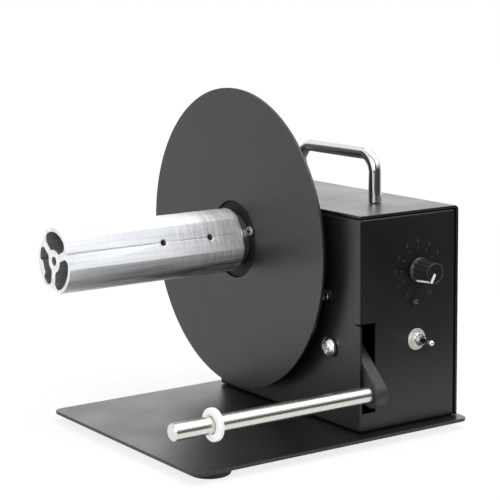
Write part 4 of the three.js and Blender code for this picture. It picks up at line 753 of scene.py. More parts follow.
def flat(loops, axis, level):
    """A flat face between loops, at a level along one axis."""
    points = np.concatenate([np.array(loop, float) for loop in loops])
    return np.insert(points, axis, level, 1), filled(loops)


def outwards(parts, centre):
    """Turns each face so that its normal leads away from a point inside."""
    turned_parts = []
    for points, faces in parts:
        kept = []
        for face in faces:
            first, second, third = points[face[0]], points[face[1]], points[face[2]]
            normal = np.cross(second - first, third - first)
            if len(face) > 3 and np.linalg.norm(normal) < JOIN**2:
                normal = np.cross(third - first, points[face[3]] - first)
            away = points[face].mean(0) - centre
            kept.append(face if normal @ away > 0 else face[::-1])
        turned_parts.append((points, kept))
    return turned_parts


class REWINDER_OT_housing(bpy.types.Operator):
    """Folded shell with its corner slot, the bent cover and the cover's screws"""

    bl_idname = "rewinder.housing"
    bl_label = "Housing"

    def execute(self, context):
        sizes = context.scene.rewinder_sizes
        self.shell(sizes)
        self.cover(sizes.sheet)
        for number in range(1, 5):
            pan_screw(f"cover_screw_{number}", X, 1.7, 2, 7, "zinc", "zinc_steel")
        return {"FINISHED"}

    def holes(self, axes, *rows):
        """Round holes of a radius in millimetres, in line with solids, in the plane of two axes."""
        return [circle(radius * MM, middle(solid)[axes], steps) for solid, radius, steps in rows]

    def shell(self, sizes):
        """One skin of flats, quarter-round bends and ball corners, which then gets the sheet's thickness
        inwards. The slot opens the front left bend, and a tongue of the left wall runs on to the panel's
        plane beside it."""
        low, high = corners("housing_shell")
        fold, lip = sizes.fold, sizes.flange
        (x0, y0, z0), (x1, y1, z1) = low + fold, high - fold
        slot_low, slot_high = corners("base_plate")[1][2] + [sizes.slot_low, sizes.slot_high]
        slot_x = low[0] + sizes.slot_width
        saw_y, saw_z = low[1] + sizes.relief_depth, slot_high - sizes.relief_height
        left_in, front_in, rear_in = low[0] + lip, low[1] + lip, high[1] - lip
        front = [
            [
                (x0, z0), (x1, z0), (x1, z1), (x0, z1),
                (x0, slot_high), (slot_x, slot_high), (slot_x, slot_low), (x0, slot_low),
            ],
            *self.holes(
                [0, 2], ("potentiometer_shaft", 4.1, 32), ("power_lamp", 2.8, 32), ("switch_washer", 3.3, 32)
            ),
        ]
        left = [
            [
                (y0, z0), (y1, z0), (y1, z1), (y0, z1), (y0, slot_high), (saw_y, slot_high),
                (saw_y, saw_z), (low[1], saw_z), (low[1], slot_low), (y0, slot_low),
            ],
            *self.holes(
                [1, 2],
                ("output_shaft", 6.3, 48), ("arm_pivot_screw", 3.3, 32), ("sensor_screw", 1.8, 32),
                *[(f"gearbox_screw_{number}", 1.8, 24) for number in (1, 2, 3)],
            ),
        ]
        rear = [block((x0, z0), (x1, z1)), *self.holes([0, 2], ("power_inlet", 4.3, 48))]
        ledge = [
            (x0, y0), (x1, y0), (x1, front_in), (left_in, front_in),
            (left_in, rear_in), (x1, rear_in), (x1, y1), (x0, y1),
        ]
        lips = ((y0, front_in), (rear_in, y1))
        parts = [flat(front, 1, low[1]), flat(left, 0, low[0]), flat(rear, 1, high[1])]
        parts += [flat([ledge], 2, level) for level in (low[2], high[2])]
        parts += [flat([block((a, z0), (b, z1))], 0, high[0]) for a, b in lips]
        whole, slotted = [(z0, z1)], [(z0, slot_low), (slot_high, z1)]
        for x, y, east, north, spans in (
            (x0, y0, -X, -Y, slotted), (x1, y0, X, -Y, whole), (x0, y1, -X, Y, whole), (x1, y1, X, Y, whole),
        ):
            parts += [bend((x, y, bottom), (x, y, top), east, north, fold) for bottom, top in spans]
            parts += [ball_corner((x, y, z), east, north, up, fold) for z, up in ((z0, -Z), (z1, Z))]
        for z, up in ((z0, -Z), (z1, Z)):
            parts += [bend((x0, y, z), (x1, y, z), north, up, fold) for y, north in ((y0, -Y), (y1, Y))]
            parts.append(bend((x0, y0, z), (x0, y1, z), -X, up, fold))
            parts += [bend((x1, a, z), (x1, b, z), X, up, fold) for a, b in lips]
        parts = outwards(parts, (low + high) / 2)
        piece("folded_shell", parts, "coat", "frame", ["housing_shell"], "shell_coat", wall=sizes.sheet)

    def cover(self, sheet):
        """The cover's section, an L with a round bend, carried from the front edge to the rear edge."""
        low, high = corners("housing_cover")
        (left, _, bottom), (right, _, top) = low, high
        edge, bend_out = 0.3 * MM, 2 * sheet
        table = [
            (left, top, edge), (left, top - sheet, edge), (right - sheet, top - sheet, bend_out - sheet),
            (right - sheet, bottom, edge), (right, bottom, edge), (right, top, bend_out),
        ]
        parts = plate(rounded(table, steps=10), [], low[1], high[1], 0 * X, np.array([X, Z, Y]), edge)
        piece("bent_cover", parts, "coat", "frame", ["housing_cover"], "cover_coat")


class REWINDER_OT_handle(bpy.types.Operator):
    """Carry handle, bent from round bar"""

    bl_idname = "rewinder.handle"
    bl_label = "Carry handle"

    bend_radius = 11 * MM
    end_edge = 0.5 * MM
    sides = 48
    rows = 280

    def execute(self, context):
        low, high = corners("carry_handle")
        radius = (high[0] - low[0]) / 2
        front, rear, top = low[1] + radius, high[1] - radius, high[2] - radius
        curve = self.bend_radius
        table = [(front, low[2], 0), (front, top, curve), (rear, top, curve), (rear, low[2], 0)]
        line = rounded(table, closed=False, steps=64)
        along = np.concatenate([[0], np.cumsum(np.linalg.norm(np.diff(line, axis=0), axis=1))])
        inner = np.linspace(self.end_edge, along[-1] - self.end_edge, self.rows)
        stops = np.concatenate([[0], inner, along[-1:]])
        line = [np.interp(stops, along, values) for values in line.T]
        path = np.column_stack([np.full(len(stops), middle("carry_handle")[0]), *line])
        thick = np.full(len(path), radius)
        thick[[0, -1]] -= self.end_edge
        points, quads = tube(path, thick, X, self.sides)
        parts = [(points, quads)]
        for rim in (points[: self.sides], points[-self.sides :]):
            middles = np.tile(rim.mean(0), (self.sides, 1))
            parts.append(surface(np.stack([middles, rim]), around=True))
        piece("handle_bar", parts, "handle", "frame", ["carry_handle"], "handle_stainless")
        return {"FINISHED"}


class REWINDER_OT_disc(bpy.types.Operator):
    """Flange disc, the hub plate behind it, near-black as painted shade of a recess, and the bright drive hub
    """

    bl_idname = "rewinder.disc"
    bl_label = "Disc and hub"

    # Sizes in millimetres
    hole = 24.3
    hub_bore = 9.3
    stud_bore = 2.7
    shaft_bore = 3.15
    screw_circle = 20.4

    def execute(self, context):
        edge = context.scene.rewinder_sizes.sheet_edge / MM
        _, radius, thick = seat("flange_disc", X)
        table = hoop(self.hole, radius, thick, edge, edge)
        lathe("disc_sheet", "flange_disc", X, table, "disc", "spindle", "disc_coat", 256)

        _, radius, back = seat("hub_flange", X)
        spigot, step = self.hole - 0.3, back - 3
        table = [
            (self.hub_bore, 0, 0.3), (spigot, 0, 0.4), (spigot, step, 0),
            (radius, step, 0.3), (radius, back, 0.5), (self.hub_bore, back, 0.3),
        ]
        # Near-black hub plate: painted shade, for a deep shaded recess round the spindle's end.
        lathe("hub_plate", "hub_flange", X, table, "black_oxide_and_recess_shade", "spindle", "hub_black", 160)

        start, boss, total = seat("drive_hub", X)
        step = (corners("hub_flange")[0][0] - start[0]) / MM - 0.3
        barrel, floor = self.hub_bore - 0.3, 3.2
        table = [
            (self.stud_bore, 0, 0.2), (boss, 0, 0.5), (boss, step, 0.3), (barrel, step, 0),
            (barrel, total, 0.4), (self.shaft_bore, total, 0.2), (self.shaft_bore, floor, 0),
            (self.stud_bore, floor, 0),
        ]
        lathe("hub_boss", "drive_hub", X, table, "hub", "spindle", "hub_aluminium", 128)
        self.hub_screws()
        dress("zinc", "output_shaft", "spindle_stud")
        dress("black_oxide_and_recess_shade", "hub_set_screw")
        return {"FINISHED"}

    def hub_screws(self):
        """Two screws that hold the drive hub's boss on the hub plate, one in line with the tapped flat."""
        face = corners("hub_flange")[0][0]
        axis = middle("hub_flange")[1:]
        for number in (1, 2):
            place = axis + self.screw_circle * MM * unit(number * math.pi - SPINDLE_TURN)
            # The screws' darker zinc is painted shade of the recess they sit in.
            parts = pan_head(np.array([face, *place]), -X, 3.3, 2.6)
            piece(f"hub_screw_{number}", parts, "shaded_zinc", "spindle", slot="zinc_steel")


class REWINDER_OT_spindle(bpy.types.Operator):
    """Extruded spindle with three cavities, three grooved flats and two tapped holes"""

    bl_idname = "rewinder.spindle"
    bl_label = "Spindle"

    # Sizes in millimetres. Those of the pad are of the thicker wall behind the tapped flat.
    flat = 17.5
    radius = 19.9
    groove_width = 1.3
    groove_depth = 0.8
    boss = 6.8
    bore = 2.7
    web = 2.3
    cavity = 17.5
    outer_fillet = 3.8
    inner_fillet = 2.0
    pad = 14.1
    pad_half = 3.7
    pad_foot = 5.2
    hole_radius = 1.9
    hole_depth = 6.5
    hole_mouth = 0.7
    holes_at = (66.0, 99.4)

    def execute(self, context):
        low, high = corners("spindle_profile")
        axis = np.array([low[0], *middle("drive_hub")[1:]])
        webs = [math.pi - SPINDLE_TURN + k * 2 * math.pi / 3 for k in range(3)]
        outline = np.concatenate([self.side(angle) for angle in webs]) * MM
        holes = [self.hollow(angle + math.pi / 3, k == 1) * MM for k, angle in enumerate(webs)]
        holes.append(circle(self.bore * MM, (0, 0), 48))
        parts = plate(outline, holes, 0, high[0] - low[0], axis, SIDE, 0.25 * MM, 3)
        replaced, slot = ["spindle_profile"], "spindle_aluminium"
        made = piece("grooved_spindle", parts, "spindle", "spindle", replaced, slot, 28)
        self.tap(made, axis, webs[0])
        self.shade_cavities(made.data, axis, (high[0] - low[0]) / MM, webs)
        return {"FINISHED"}

    def shade_cavities(self, mesh, axis, total, webs):
        """Gives the painted shade to the faces inside the spindle: those nearer the axis than the flats are,
        both round it and towards each flat, and not on the ends."""
        place = np.empty(3 * len(mesh.polygons))
        mesh.polygons.foreach_get("center", place)
        place = (place.reshape(-1, 3) - axis) / MM
        along, across = place[:, 0], place[:, 1:]
        towards = (across @ unit(webs).T).max(1)
        inside = (np.linalg.norm(across, axis=1) < self.radius - 0.6) & (towards < self.flat - 1.1)
        inside &= (along > 0.3) & (along < total - 0.3)
        mesh.materials.append(FINISHES["cavity"])
        mesh.polygons.foreach_set("material_index", inside.astype(np.int32))

    def side(self, angle):
        """One flat with its groove, and the arc of the outer radius up to the next flat."""
        half = math.acos(self.flat / self.radius)
        width = self.groove_width / 2
        marks = [(-self.radius * math.sin(half), 0), (-width, 0), (0, self.groove_depth), (width, 0)]
        start = np.array([(self.flat - deep, place) for place, deep in marks])
        start = start @ unit([angle, angle + math.pi / 2])
        sweep = np.linspace(angle + half, angle + 2 * math.pi / 3 - half, 40, endpoint=False)
        return np.concatenate([start, self.radius * unit(sweep)])

    def hollow(self, centre, padded):
        """A cavity between two webs: arcs of the outer wall, two outer fillets, two inner fillets and the
        boss. A fillet's middle lies a web's half and its own radius away from the web's middle plane."""
        reach = self.cavity - self.outer_fillet
        near = self.boss + self.inner_fillet
        wide = math.asin((self.web + self.outer_fillet) / reach)
        tight = math.asin((self.web + self.inner_fillet) / near)
        first, last = centre - math.pi / 3, centre + math.pi / 3

        def arc(at, turn, radius, start, end, steps=10):
            return at * unit(turn) + radius * unit(np.linspace(start, end, steps)[:-1])

        if padded:
            foot = math.asin(self.pad_foot / self.cavity)
            land = [(self.pad, -self.pad_half), (self.pad, self.pad_half)]
            wall = [
                arc(0, 0, self.cavity, first + wide, centre - foot, 12),
                land @ unit([centre, centre + math.pi / 2]),
                arc(0, 0, self.cavity, centre + foot, last - wide, 12),
            ]
        else:
            wall = [arc(0, 0, self.cavity, first + wide, last - wide, 30)]
        rest = [
            arc(reach, last - wide, self.outer_fillet, last - wide, last + math.pi / 2),
            arc(near, last - tight, self.inner_fillet, last + math.pi / 2, last - tight + math.pi),
            arc(0, 0, self.boss, last - tight, first + tight, 20),
            arc(near, first + tight, self.inner_fillet, first + tight + math.pi, first + 1.5 * math.pi),
            arc(reach, first + wide, self.outer_fillet, first - math.pi / 2, first + wide),
        ]
        return np.concatenate(wall + rest)

    def tap(self, made, axis, angle):
        """Two tapped holes with a chamfered mouth, cut into the first flat."""
        out = np.array([0, *unit(angle)])
        radius, mouth, beyond = self.hole_radius, self.hole_mouth, 2
        table = [
            (0, beyond), (radius + mouth, beyond), (radius + mouth, 0),
            (radius, -mouth), (radius, -self.hole_depth), (0, -self.hole_depth - mouth),
        ]
        places = [axis + (X * along + out * self.flat) * MM for along in self.holes_at]
        cuts = [turned(np.array(table) * MM, place, out, 40) for place in places]
        cutter = piece("tap_cutter", cuts, "hub", "spindle")
        cut = made.modifiers.new("Tapped holes", "BOOLEAN")
        cut.operation = "DIFFERENCE"
        cut.object = cutter
        cut.solver = "EXACT"
        made.modifiers.move(len(made.modifiers) - 1, 0)
        bake(made)
        bpy.data.objects.remove(cutter)


class REWINDER_OT_arm(bpy.types.Operator):
    """Swing arm, its bush, the guide rod, the collar and the screws"""

    bl_idname = "rewinder.arm"
    bl_label = "Arm and guide rod"

    # Sizes in millimetres. The flag is the blade that passes through the sensor.
    hub_radius = 15.3
    end_radius = 8.4
    bush_hole = 5.3
    rod_hole = 2.8
    rod_hole_depth = 9.1
    rod_chamfer = 0.9
    flag_width = 8
    flag_thick = 1.2

    def execute(self, context):
        self.arm()
        self.rod()
        _, radius, thick = seat("guide_collar", X)
        table = hoop(self.bush_hole, radius, thick, 0.3, 0.9)
        lathe("collar_ring", "guide_collar", X, table, "nylon", "collar", "collar_nylon")
        dress("bronze", "arm_bush")
        dress("zinc", "rod_screw", "pivot_washer", "pivot_nut", "arm_stop_stud")
        return {"FINISHED"}

    def arm(self):
        """Two circles joined by their outer tangents, which touch both at acos((R - r) / length) from the
        line."""
        low, high = corners("swing_arm")
        pivot, rod = middle("arm_bush")[1:], middle("guide_rod")[1:]
        line = rod - pivot
        heading = math.atan2(line[1], line[0])
        touch = math.acos((self.hub_radius - self.end_radius) * MM / np.linalg.norm(line))
        end = np.linspace(heading - touch, heading + touch, 24)
        hub = np.linspace(heading + touch, heading - touch + 2 * math.pi, 40)
        outline = [rod + self.end_radius * MM * unit(end), pivot + self.hub_radius * MM * unit(hub)]
        holes = [circle(self.bush_hole * MM, pivot, 40), circle(self.rod_hole * MM, rod, 32)]
        parts = plate(np.concatenate(outline), holes, low[0], high[0], 0 * X, SIDE, 0.9 * MM, 6)
        width, thick = self.flag_width * MM / 2, self.flag_thick * MM / 2
        foot = pivot[1] + (self.hub_radius - 1) * MM
        blade = block((pivot[0] - width, foot), (pivot[0] + width, high[2]), 0.2 * MM, 1 * MM)
        centre = (low[0] + high[0]) / 2
        parts += plate(blade, [], centre - thick, centre + thick, 0 * X, SIDE, 0.15 * MM)
        piece("drop_arm", parts, "arm", "arm", ["swing_arm"], "arm_cast")

    def rod(self):
        """A bar with a chamfered tip and a blind hole for its screw."""
        _, radius, total = seat("guide_rod", X)
        hole, floor, chamfer = self.rod_hole, total - self.rod_hole_depth, self.rod_chamfer
        table = [
            (0, 0, 0), (radius - chamfer, 0, 0.25), (radius, chamfer, 0.3), (radius, total, 0.3),
            (hole, total, 0.2), (hole, floor, 0), (0, floor, 0),
        ]
        lathe("guide_bar", "guide_rod", X, table, "rod", "arm", "rod_stainless", ring=False)


class REWINDER_OT_wall_screws(bpy.types.Operator):
    """Pivot screw, sensor screw and gearbox screws on the left wall"""

    bl_idname = "rewinder.wall_screws"
    bl_label = "Left wall screws"

    def execute(self, context):
        pan_screw("arm_pivot_screw", -X, 3.4, 3, 18.6, "chrome", "screw_chrome")
        pan_screw("sensor_screw", -X, 1.8, 1.5, 5, "chrome", "screw_chrome")
        dress("zinc", "gearbox_screw_1", "gearbox_screw_2", "gearbox_screw_3")
        return {"FINISHED"}


class REWINDER_OT_knob(bpy.types.Operator):
    """Fluted speed knob with its white line, and the dial's marks"""

    bl_idname = "rewinder.knob"
    bl_label = "Speed knob"

    # Sizes in millimetres
    skirt = 2.6
    base_radius = 7.0
    tip_radius = 6.1
    face_radius = 5.5
    face_depth = 0.25
    shaft_bore = 3.15
    nut_room = 6.07
    pointer_angle = math.radians(30)
    dial_sweep = math.radians(300)

    def execute(self, context):
        sizes = context.scene.rewinder_sizes
        start, skirt_radius, height = seat("speed_knob", -Y)
        shaft = middle("potentiometer_shaft")
        centre = np.array([shaft[0], start[1], shaft[2]])
        self.body(sizes, centre, height, skirt_radius)
        self.pointer(sizes.pointer_width / 2, centre, height)
        self.dial(sizes, centre)
        dress("zinc", "potentiometer_body", "potentiometer_nut")
        dress("hub", "potentiometer_shaft")
        return {"FINISHED"}

    def body(self, sizes, centre, height, skirt_radius):
        """Radius by height and angle: the outline R(h), less the flute's depth times w(h) and times 0.5 +
        cos(n a) kept between 0 and 1, with w 1 between skirt and rim. The back is hollow round the nut and
        bored for the shaft."""
        base, tip, face = self.base_radius, self.tip_radius, self.face_radius
        lower = [
            (0, 10.9, 0), (self.shaft_bore, 10.9, 0), (self.shaft_bore, 4.7, 0), (3.9, 4.7, 0), (3.9, 2, 0),
            (self.nut_room, 2, 0), (self.nut_room, 0, 0.2), (skirt_radius, 0, 0.3),
            (skirt_radius, self.skirt * 0.7, 0.5), (base + 0.15, self.skirt, 0.2),
            (base, self.skirt + 0.3, 0),
        ]
        floor = height - self.face_depth
        upper = [
            (tip, height - 0.9, 0), (tip, height, 0.35), (face, height, 0.15),
            (face - 0.15, floor, 0.1), (0, floor, 0),
        ]
        lower, upper = (rounded(np.array(table) * MM, closed=False) for table in (lower, upper))
        rows = 14
        share = np.linspace(0, 1, rows)[1:-1, None]
        outline = np.concatenate([lower, lower[-1] + (upper[0] - lower[-1]) * share, upper])
        weight = np.clip(np.minimum(share, 1 - share) * rows, 0, 1)
        weight = np.concatenate([0 * lower[:, :1], weight, 0 * upper[:, :1]])
        angle = np.linspace(0, 2 * np.pi, 16 * sizes.knob_flutes, endpoint=False)
        groove = np.clip(0.5 + np.cos(sizes.knob_flutes * angle), 0, 1)
        radius = outline[:, :1] - sizes.knob_flute * weight * groove
        parts = [wrapped(radius, outline[:, 1:], centre, -Y)]
        piece("fluted_knob", parts, "knob", "knob", ["speed_knob"], "knob_plastic", 40)

    def pointer(self, half, centre, height):
        """A strip over the knob's face and side: its outline in radius and height, carried across its
        width."""
        proud, root, base, tip = 0.22, 0.7, self.base_radius, self.tip_radius
        table = [
            (0.5, height + proud, 0.2), (0.5, height - root, 0), (tip - root, height - root, 0),
            (base - root, self.skirt, 0), (base + proud, self.skirt, 0.1), (tip + proud, height + proud, 0.4),
        ]
        out = unit(self.pointer_angle) @ [-Z, -X]
        axes = np.array([out, -Y, np.cross(out, -Y)])
        parts = plate(rounded(np.array(table) * MM), [], -half, half, centre, axes, 0.12 * MM, 3)
        piece("pointer_line", parts, "inlay", "knob", ["knob_pointer"], "pointer_white")

    def dial(self, sizes, centre):
        """Printed marks from the lowest to the highest speed, each a thin bar that points at the knob's axis,
        and a number beyond each."""
        place = np.array([centre[0], front_panel(), centre[2]])
        film, edge = 0.03 * MM, 0.005 * MM
        near, half = sizes.tick_radius, sizes.tick_width / 2
        bar = block((near, -half), (near + sizes.tick_length, half))
        angles = math.pi + self.pointer_angle + self.dial_sweep * np.linspace(0, 1, sizes.ticks)
        rays = unit(angles) @ [Z, X]
        parts = []
        for out in rays:
            parts += plate(bar, [], edge, film, place, np.array([out, np.cross(-Y, out), -Y]), edge, 2)
        for number, out in enumerate(rays):
            parts.append(self.numeral(str(number), sizes.numeral, place + sizes.numeral_radius * out, film))
        piece("dial_marks", parts, "dial", "frame", slot="pointer_white")

    def numeral(self, digits, height, place, film):
        """A number upright on the panel, as flat shapes with the ink's thickness."""
        curve = bpy.data.curves.new("numeral", "FONT")
        curve.body = digits
        curve.size = height
        curve.align_x = "CENTER"
        curve.align_y = "CENTER"
        curve.extrude = film / 2
        held = bpy.data.objects.new("numeral", curve)
        mesh = held.to_mesh()
        points = np.array([vertex.co for vertex in mesh.vertices])
        faces = [list(face.vertices) for face in mesh.polygons]
        bpy.data.objects.remove(held)
        bpy.data.curves.remove(curve)
        return points @ np.array([X, Z, -Y]) + place, faces


class REWINDER_OT_switch(bpy.types.Operator):
    """Toggle lever, its nut and washer"""

    bl_idname = "rewinder.switch"
    bl_label = "Toggle switch"

    # Sizes in millimetres. The bushing goes through the washer and the nut.
    bushing = 3.3
    ball = 1.7
    neck = 1.0
    tip = 1.8

    def execute(self, context):
        self.lever()
        _, radius, thick = seat("switch_washer", -Y)
        table = hoop(self.bushing, radius, thick, 0.1, 0.25)
        # The washer's nickel is made lighter than the nut's as painted light.
        lathe("round_washer", "switch_washer", -Y, table, "satin_lit_nickel", "frame", "switch_nickel")
        nut = [hex_nut("switch_nut", -Y, self.bushing)]
        piece("toggle_nut", nut, "nut_nickel", "frame", ["switch_nut"], "switch_nickel", 20)
        self.body()
        return {"FINISHED"}

    def lever(self):
        """A ball, a stem that widens with the square of its height, and a round tip. The stem is dark, and
        the tip with the stem's upper end is bright."""
        base, _, reach = seat("toggle_lever", -Y)
        ball, neck, tip = self.ball, self.neck, self.tip
        sweep = np.linspace(0, math.pi - math.asin(neck / ball), 12)
        root = np.stack([ball * np.sin(sweep), ball - ball * np.cos(sweep)], 1)
        share = np.linspace(0.02, 1, 10)
        foot = root[-1, 1]
        stem = np.stack([neck * (0.95 + 0.35 * share**2), foot + (reach - 1.9 * tip - foot) * share], 1)
        sweep = np.linspace(math.asin(stem[-1, 0] / tip), math.pi, 14)
        top = np.stack([tip * np.sin(sweep), reach - tip - tip * np.cos(sweep)], 1)
        split = [(0, stem[-3, 1])]
        for name, profile, look in (
            ("lever_stem", [root, stem[:-2], split], "black_oxide_and_recess_shade"),
            ("lever_tip", [split, stem[-3:], top], "nickel"),
        ):
            parts = [turned(np.concatenate(profile) * MM, base, -Y, 48)]
            piece(name, parts, look, "toggle", ["toggle_lever"], "switch_nickel", 50)

    def body(self):
        """A threaded bushing, whose crests are 0.6 mm apart, on a case with three flat pins."""
        low, high = corners("switch_body")
        panel = front_panel()
        centre = middle("switch_body")
        centre[1] = panel
        out = (panel - low[1]) / MM
        bore, mouth, crest, pitch, floor, back = 1.9, 2.5, 3.0, 0.6, 2.3, -1.6
        level = np.linspace(back, out - 0.5, 120)
        thread = crest - 0.12 * (0.5 + 0.5 * np.cos(2 * np.pi * level / pitch))
        inner = [(crest - 0.35, out), (mouth, out), (bore, out - 1.1), (bore, floor), (0, floor), (0, back)]
        profile = np.vstack([np.stack([thread, level], 1), inner]) * MM
        parts = [turned(profile, centre, -Y, 64)]
        piece("switch_bushing", parts, "nickel", "frame", ["switch_body"], "switch_nickel", 50)

        wide, _, tall = (high - low) / 2
        rear, axes = high[1] - panel, basis(-Y)
        deep = rear - 4 * MM
        case = block((-wide, -tall), (wide, tall), 0.6 * MM)
        parts = plate(case, [], -deep, -1.8 * MM, centre, axes, 0.4 * MM)
        for row in (-4.7, 0, 4.7):
            pin = block((-0.9 * MM, (row - 0.4) * MM), (0.9 * MM, (row + 0.4) * MM))
            parts += plate(pin, [], -rear, -deep - 0.2 * MM, centre, axes, 0.1 * MM, 2)
        piece("switch_case", parts, "plastic", "frame", ["switch_body"], "black_plastic")


class REWINDER_OT_lamp(bpy.types.Operator):
    """Power lamp"""

    bl_idname = "rewinder.lamp"
    bl_label = "Power lamp"

    # Radii in millimetres
    lens = 1.7
    barrel = 2.5
    collar = 2.9

    def execute(self, context):
        """A lens with a low dome, 0.7 of a ball's height, in a holder whose collar lies on the panel."""
        base, _, reach = seat("power_lamp", -Y)
        lens, barrel, collar = self.lens, self.barrel, self.collar
        sweep = np.linspace(0, math.pi / 2, 14)
        dome = np.stack([lens * np.cos(sweep), reach - lens * 0.7 + lens * 0.7 * np.sin(sweep)], 1)
        parts = [turned(np.concatenate([[(0, 0.5), (lens, 0.5)], dome]) * MM, base, -Y, 64)]
        piece("lamp_lens", parts, "lamp", "frame", ["power_lamp"], "lamp_red", 50)
        rim = (base[1] - front_panel()) / MM
        face = rim + 0.7
        table = [
            (lens, 0, 0.2), (barrel, 0, 0.2), (barrel, rim, 0),
            (collar, rim, 0.1), (collar, face, 0.25), (lens, face, 0.1),
        ]
        lathe("lamp_holder", "power_lamp", -Y, table, "plastic", "frame", "black_plastic", 64, sharp=50)
        dress("plastic", "lamp_clip")
        return {"FINISHED"}


class REWINDER_OT_inlet(bpy.types.Operator):
    """Power inlet and its nut on the rear panel"""

    bl_idname = "rewinder.inlet"
    bl_label = "Power inlet"

    # Sizes in millimetres
    case_length = 12
    nose = 4
    socket = 2.75
    pin = 1
    depth = 9
    nut_bore = 4.3

    def execute(self, context):
        """A case, a nose through the panel and a socket with a pin, turned about Y."""
        _, case, total = seat("power_inlet", Y)
        end, nose, socket, pin = self.case_length, self.nose, self.socket, self.pin
        floor = total - self.depth
        table = [
            (0, 0, 0), (case, 0, 0.4), (case, end, 0.2), (nose, end, 0), (nose, total, 0.3),
            (socket, total, 0.2), (socket, floor, 0), (pin, floor, 0), (pin, total - 1, 0.4),
            (0, total - 1, 0),
        ]
        lathe("inlet_barrel", "power_inlet", Y, table, "plastic", "frame", "black_plastic", 64, ring=False)
        nut = [hex_nut("inlet_nut", Y, self.nut_bore)]
        piece("inlet_ring", nut, "zinc", "frame", ["inlet_nut"], "zinc_steel", 25)
        return {"FINISHED"}


class REWINDER_OT_inside(bpy.types.Operator):
    """Finishes of the pieces inside the housing"""

    bl_idname = "rewinder.inside"
    bl_label = "Inner pieces"

    def execute(self, context):
        dress("zinc", "gearbox_housing", "motor_can", "sensor_bracket")
        dress("zinc", "handle_screw_front", "handle_screw_rear")
        dress("plastic", "slot_sensor")
        dress("board", "control_board")
        dress("nylon", *[f"board_post_{number}" for number in range(1, 5)])
        return {"FINISHED"}


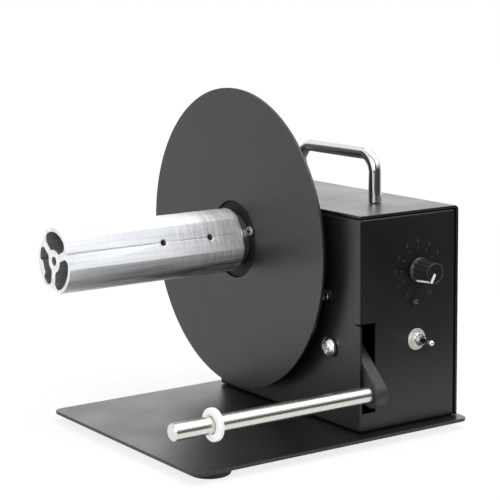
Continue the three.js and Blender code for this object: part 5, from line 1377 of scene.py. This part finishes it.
class REWINDER_OT_stage(bpy.types.Operator):
    """Camera, lamps, floor and backdrop"""

    bl_idname = "rewinder.stage"
    bl_label = "Stage"

    def execute(self, context):
        stage = context.scene.rewinder_stage
        self.camera(context, stage)
        self.paper(context.scene.rewinder_colours)
        self.lamps(stage)
        self.room(context, stage)
        context.scene.view_settings.view_transform = "Standard"
        return {"FINISHED"}

    def camera(self, context, stage):
        """The view's axes: back = (sin a cos e, -cos a cos e, sin e), right level and square to it, up square
        to both, and right and up turned by the roll."""
        a, e, roll = stage.azimuth, stage.pitch, stage.roll
        back = np.array([math.sin(a) * math.cos(e), -math.cos(a) * math.cos(e), math.sin(e)])
        right = np.cross(Z, back)
        right /= np.linalg.norm(right)
        up = np.cross(back, right)
        turned_right = math.cos(roll) * right + math.sin(roll) * up
        turned_up = math.cos(roll) * up - math.sin(roll) * right
        data = bpy.data.cameras.new("Camera")
        data.lens = stage.lens
        data.sensor_width = 36
        data.clip_end = 20
        view = added("Camera", data)
        rotation = Matrix(np.array([turned_right, turned_up, back]).T.tolist()).to_4x4()
        view.matrix_world = Matrix.Translation(Vector(stage.place)) @ rotation
        context.scene.camera = view

    def paper(self, colours):
        """A flat sheet of paper that ends a little way in front of the machine and runs far out behind it.
        Rays that show it see it glow white, with a fifth of its real shade left near the machine for the
        shadow and less further out. Other rays meet plain paper."""
        front, side, rear = CAD_BOX[0][1] - 0.11, 2.4, 2.6
        x, y = np.meshgrid(np.linspace(-side, side, 9), np.linspace(front, rear, 9), indexing="ij")
        points, quads = surface(np.dstack([x, y, 0 * x - 0.02 * MM]))
        mesh = bpy.data.meshes.new("paper")
        mesh.from_pydata(points.tolist(), [], quads)
        floor = added("paper", mesh)
        material = bpy.data.materials.new("Stage paper")
        tree = cleared(material)
        place = node(tree, "TexCoord", out="Object")
        away = node(tree, "VectorMath", [place], operation="LENGTH")
        near = node(tree, "MapRange", [away, 0.2, 0.8, 0.8, 1.0])
        share = node(tree, "Math", [self.seen(tree), near], operation="MULTIPLY")
        sheet = node(tree, "BsdfDiffuse", [colours.stage])
        glow = node(tree, "Emission", {"Strength": 1.02})
        both = node(tree, "MixShader", [share, sheet, glow])
        node(tree, "OutputMaterial", [both])
        mesh.materials.append(material)

    def seen(self, tree):
        """1 for the rays that show the stage: the camera's, and those through clear and glossy surfaces."""
        camera = node(tree, "LightPath", out="Is Camera Ray")
        path = camera.node.outputs
        sharp = [path["Is Glossy Ray"], path["Is Transmission Ray"]]
        sharp = node(tree, "Math", sharp, operation="MAXIMUM")
        return node(tree, "Math", [camera, sharp], operation="MAXIMUM")

    def lamps(self, stage):
        """Soft lamps aimed at the machine: a key at the left, a box above, a cool one at the front right, and
        a low one at the back right, which glances off the level faces. A card on the floor at the left throws
        light up."""
        for name, place, size, watts, tone in (
            ("Key lamp", (-1.3, -0.95, 0.9), (1.2, 1.2), stage.key, (1.0, 1.0, 1.0)),
            ("Overhead box", (0.2, 0.0, 1.5), (1.6, 1.0), stage.overhead, (1.0, 0.99, 0.97)),
            ("Window box", (0.7, -0.9, 1.35), (1.4, 0.9), stage.window, (0.9, 0.95, 1.0)),
            ("Back box", (1.1, 1.6, 0.5), (1.5, 0.8), stage.back, (1.0, 1.0, 1.0)),
            ("Floor card", (-0.5, -0.12, 0.004), (0.6, 0.9), stage.bounce, (1.0, 1.0, 1.0)),
        ):
            data = bpy.data.lights.new(name, "AREA")
            data.shape = "RECTANGLE"
            data.size, data.size_y = size
            data.energy = watts
            data.color = tone
            lamp = added(name, data)
            lamp.visible_camera = False
            aim = Vector((0, 0, 0.1)) - Vector(place)
            turn = aim.to_track_quat("-Z", "Y").to_matrix().to_4x4()
            if name == "Floor card":  # it lies flat and shines straight up
                turn = Matrix.Rotation(math.pi, 4, "X")
            lamp.matrix_world = Matrix.Translation(place) @ turn

    def room(self, context, stage):
        """Even light on the machine from all round. The camera sees it white. Glossy surfaces see it white
        behind the machine and above its front right, and a dark room low down in front and at the front
        left."""
        world = bpy.data.worlds.new("Room")
        context.scene.world = world
        tree = cleared(world)
        direction = node(tree, "TexCoord", out="Generated")
        parts = node(tree, "SeparateXYZ", [direction]).node.outputs
        raised, right, behind, top = (
            node(tree, "MapRange", [parts[axis], *limits])
            for axis, *limits in (
                ("Z", 0.15, 0.5, 0.0, 1.0),
                ("X", -0.4, 0.1, 0.0, 1.0),
                ("Y", -0.6, -0.1, 0.05, 1.0),
                ("Z", 0.5, 1.0, 1.0, 0.75),
            )
        )
        raised = node(tree, "Math", [raised, right], operation="MULTIPLY")
        wall = node(tree, "Math", [behind, raised], operation="MAXIMUM")
        room = node(tree, "Math", [wall, top], operation="MULTIPLY")
        camera = node(tree, "LightPath", out="Is Camera Ray")
        shown = node(tree, "Math", [room, camera], operation="MAXIMUM")
        plain = node(tree, "Background", [(1, 1, 1, 1), stage.ambient])
        white = node(tree, "Background", [(1, 1, 1, 1), shown])
        mix = node(tree, "MixShader", [self.seen(tree), plain, white])
        node(tree, "OutputWorld", [mix])


class REWINDER_PT_panel(bpy.types.Panel):
    """Lists the machine's pieces"""

    bl_idname = "REWINDER_PT_panel"
    bl_label = "Label rewinder"
    bl_space_type = "VIEW_3D"
    bl_region_type = "UI"
    bl_category = "Rewinder"

    def draw(self, context):
        for operator in OPERATORS:
            self.layout.operator(operator.bl_idname)
        for group in GROUPS:
            held = getattr(context.scene, group)
            for name in held.__annotations__:
                self.layout.prop(held, name)


GROUPS = {
    "rewinder_sizes": RewinderSizes,
    "rewinder_colours": RewinderColours,
    "rewinder_stage": RewinderStage,
}
OPERATORS = (
    REWINDER_OT_finishes,
    REWINDER_OT_base,
    REWINDER_OT_housing,
    REWINDER_OT_handle,
    REWINDER_OT_disc,
    REWINDER_OT_spindle,
    REWINDER_OT_arm,
    REWINDER_OT_wall_screws,
    REWINDER_OT_knob,
    REWINDER_OT_switch,
    REWINDER_OT_lamp,
    REWINDER_OT_inlet,
    REWINDER_OT_inside,
    REWINDER_OT_stage,
)


def register():
    """Registers the classes and hangs the property groups on the scene."""
    for made in (*GROUPS.values(), *OPERATORS, REWINDER_PT_panel):
        bpy.utils.register_class(made)
    for name, group in GROUPS.items():
        setattr(bpy.types.Scene, name, PointerProperty(type=group))


def unregister():
    """Takes away what register added."""
    for name in GROUPS:
        delattr(bpy.types.Scene, name)
    for made in reversed((*GROUPS.values(), *OPERATORS, REWINDER_PT_panel)):
        bpy.utils.unregister_class(made)


def main():
    register()
    for operator in OPERATORS:
        group, name = operator.bl_idname.split(".")
        getattr(getattr(bpy.ops, group), name)()


if __name__ == "__main__":
    main()
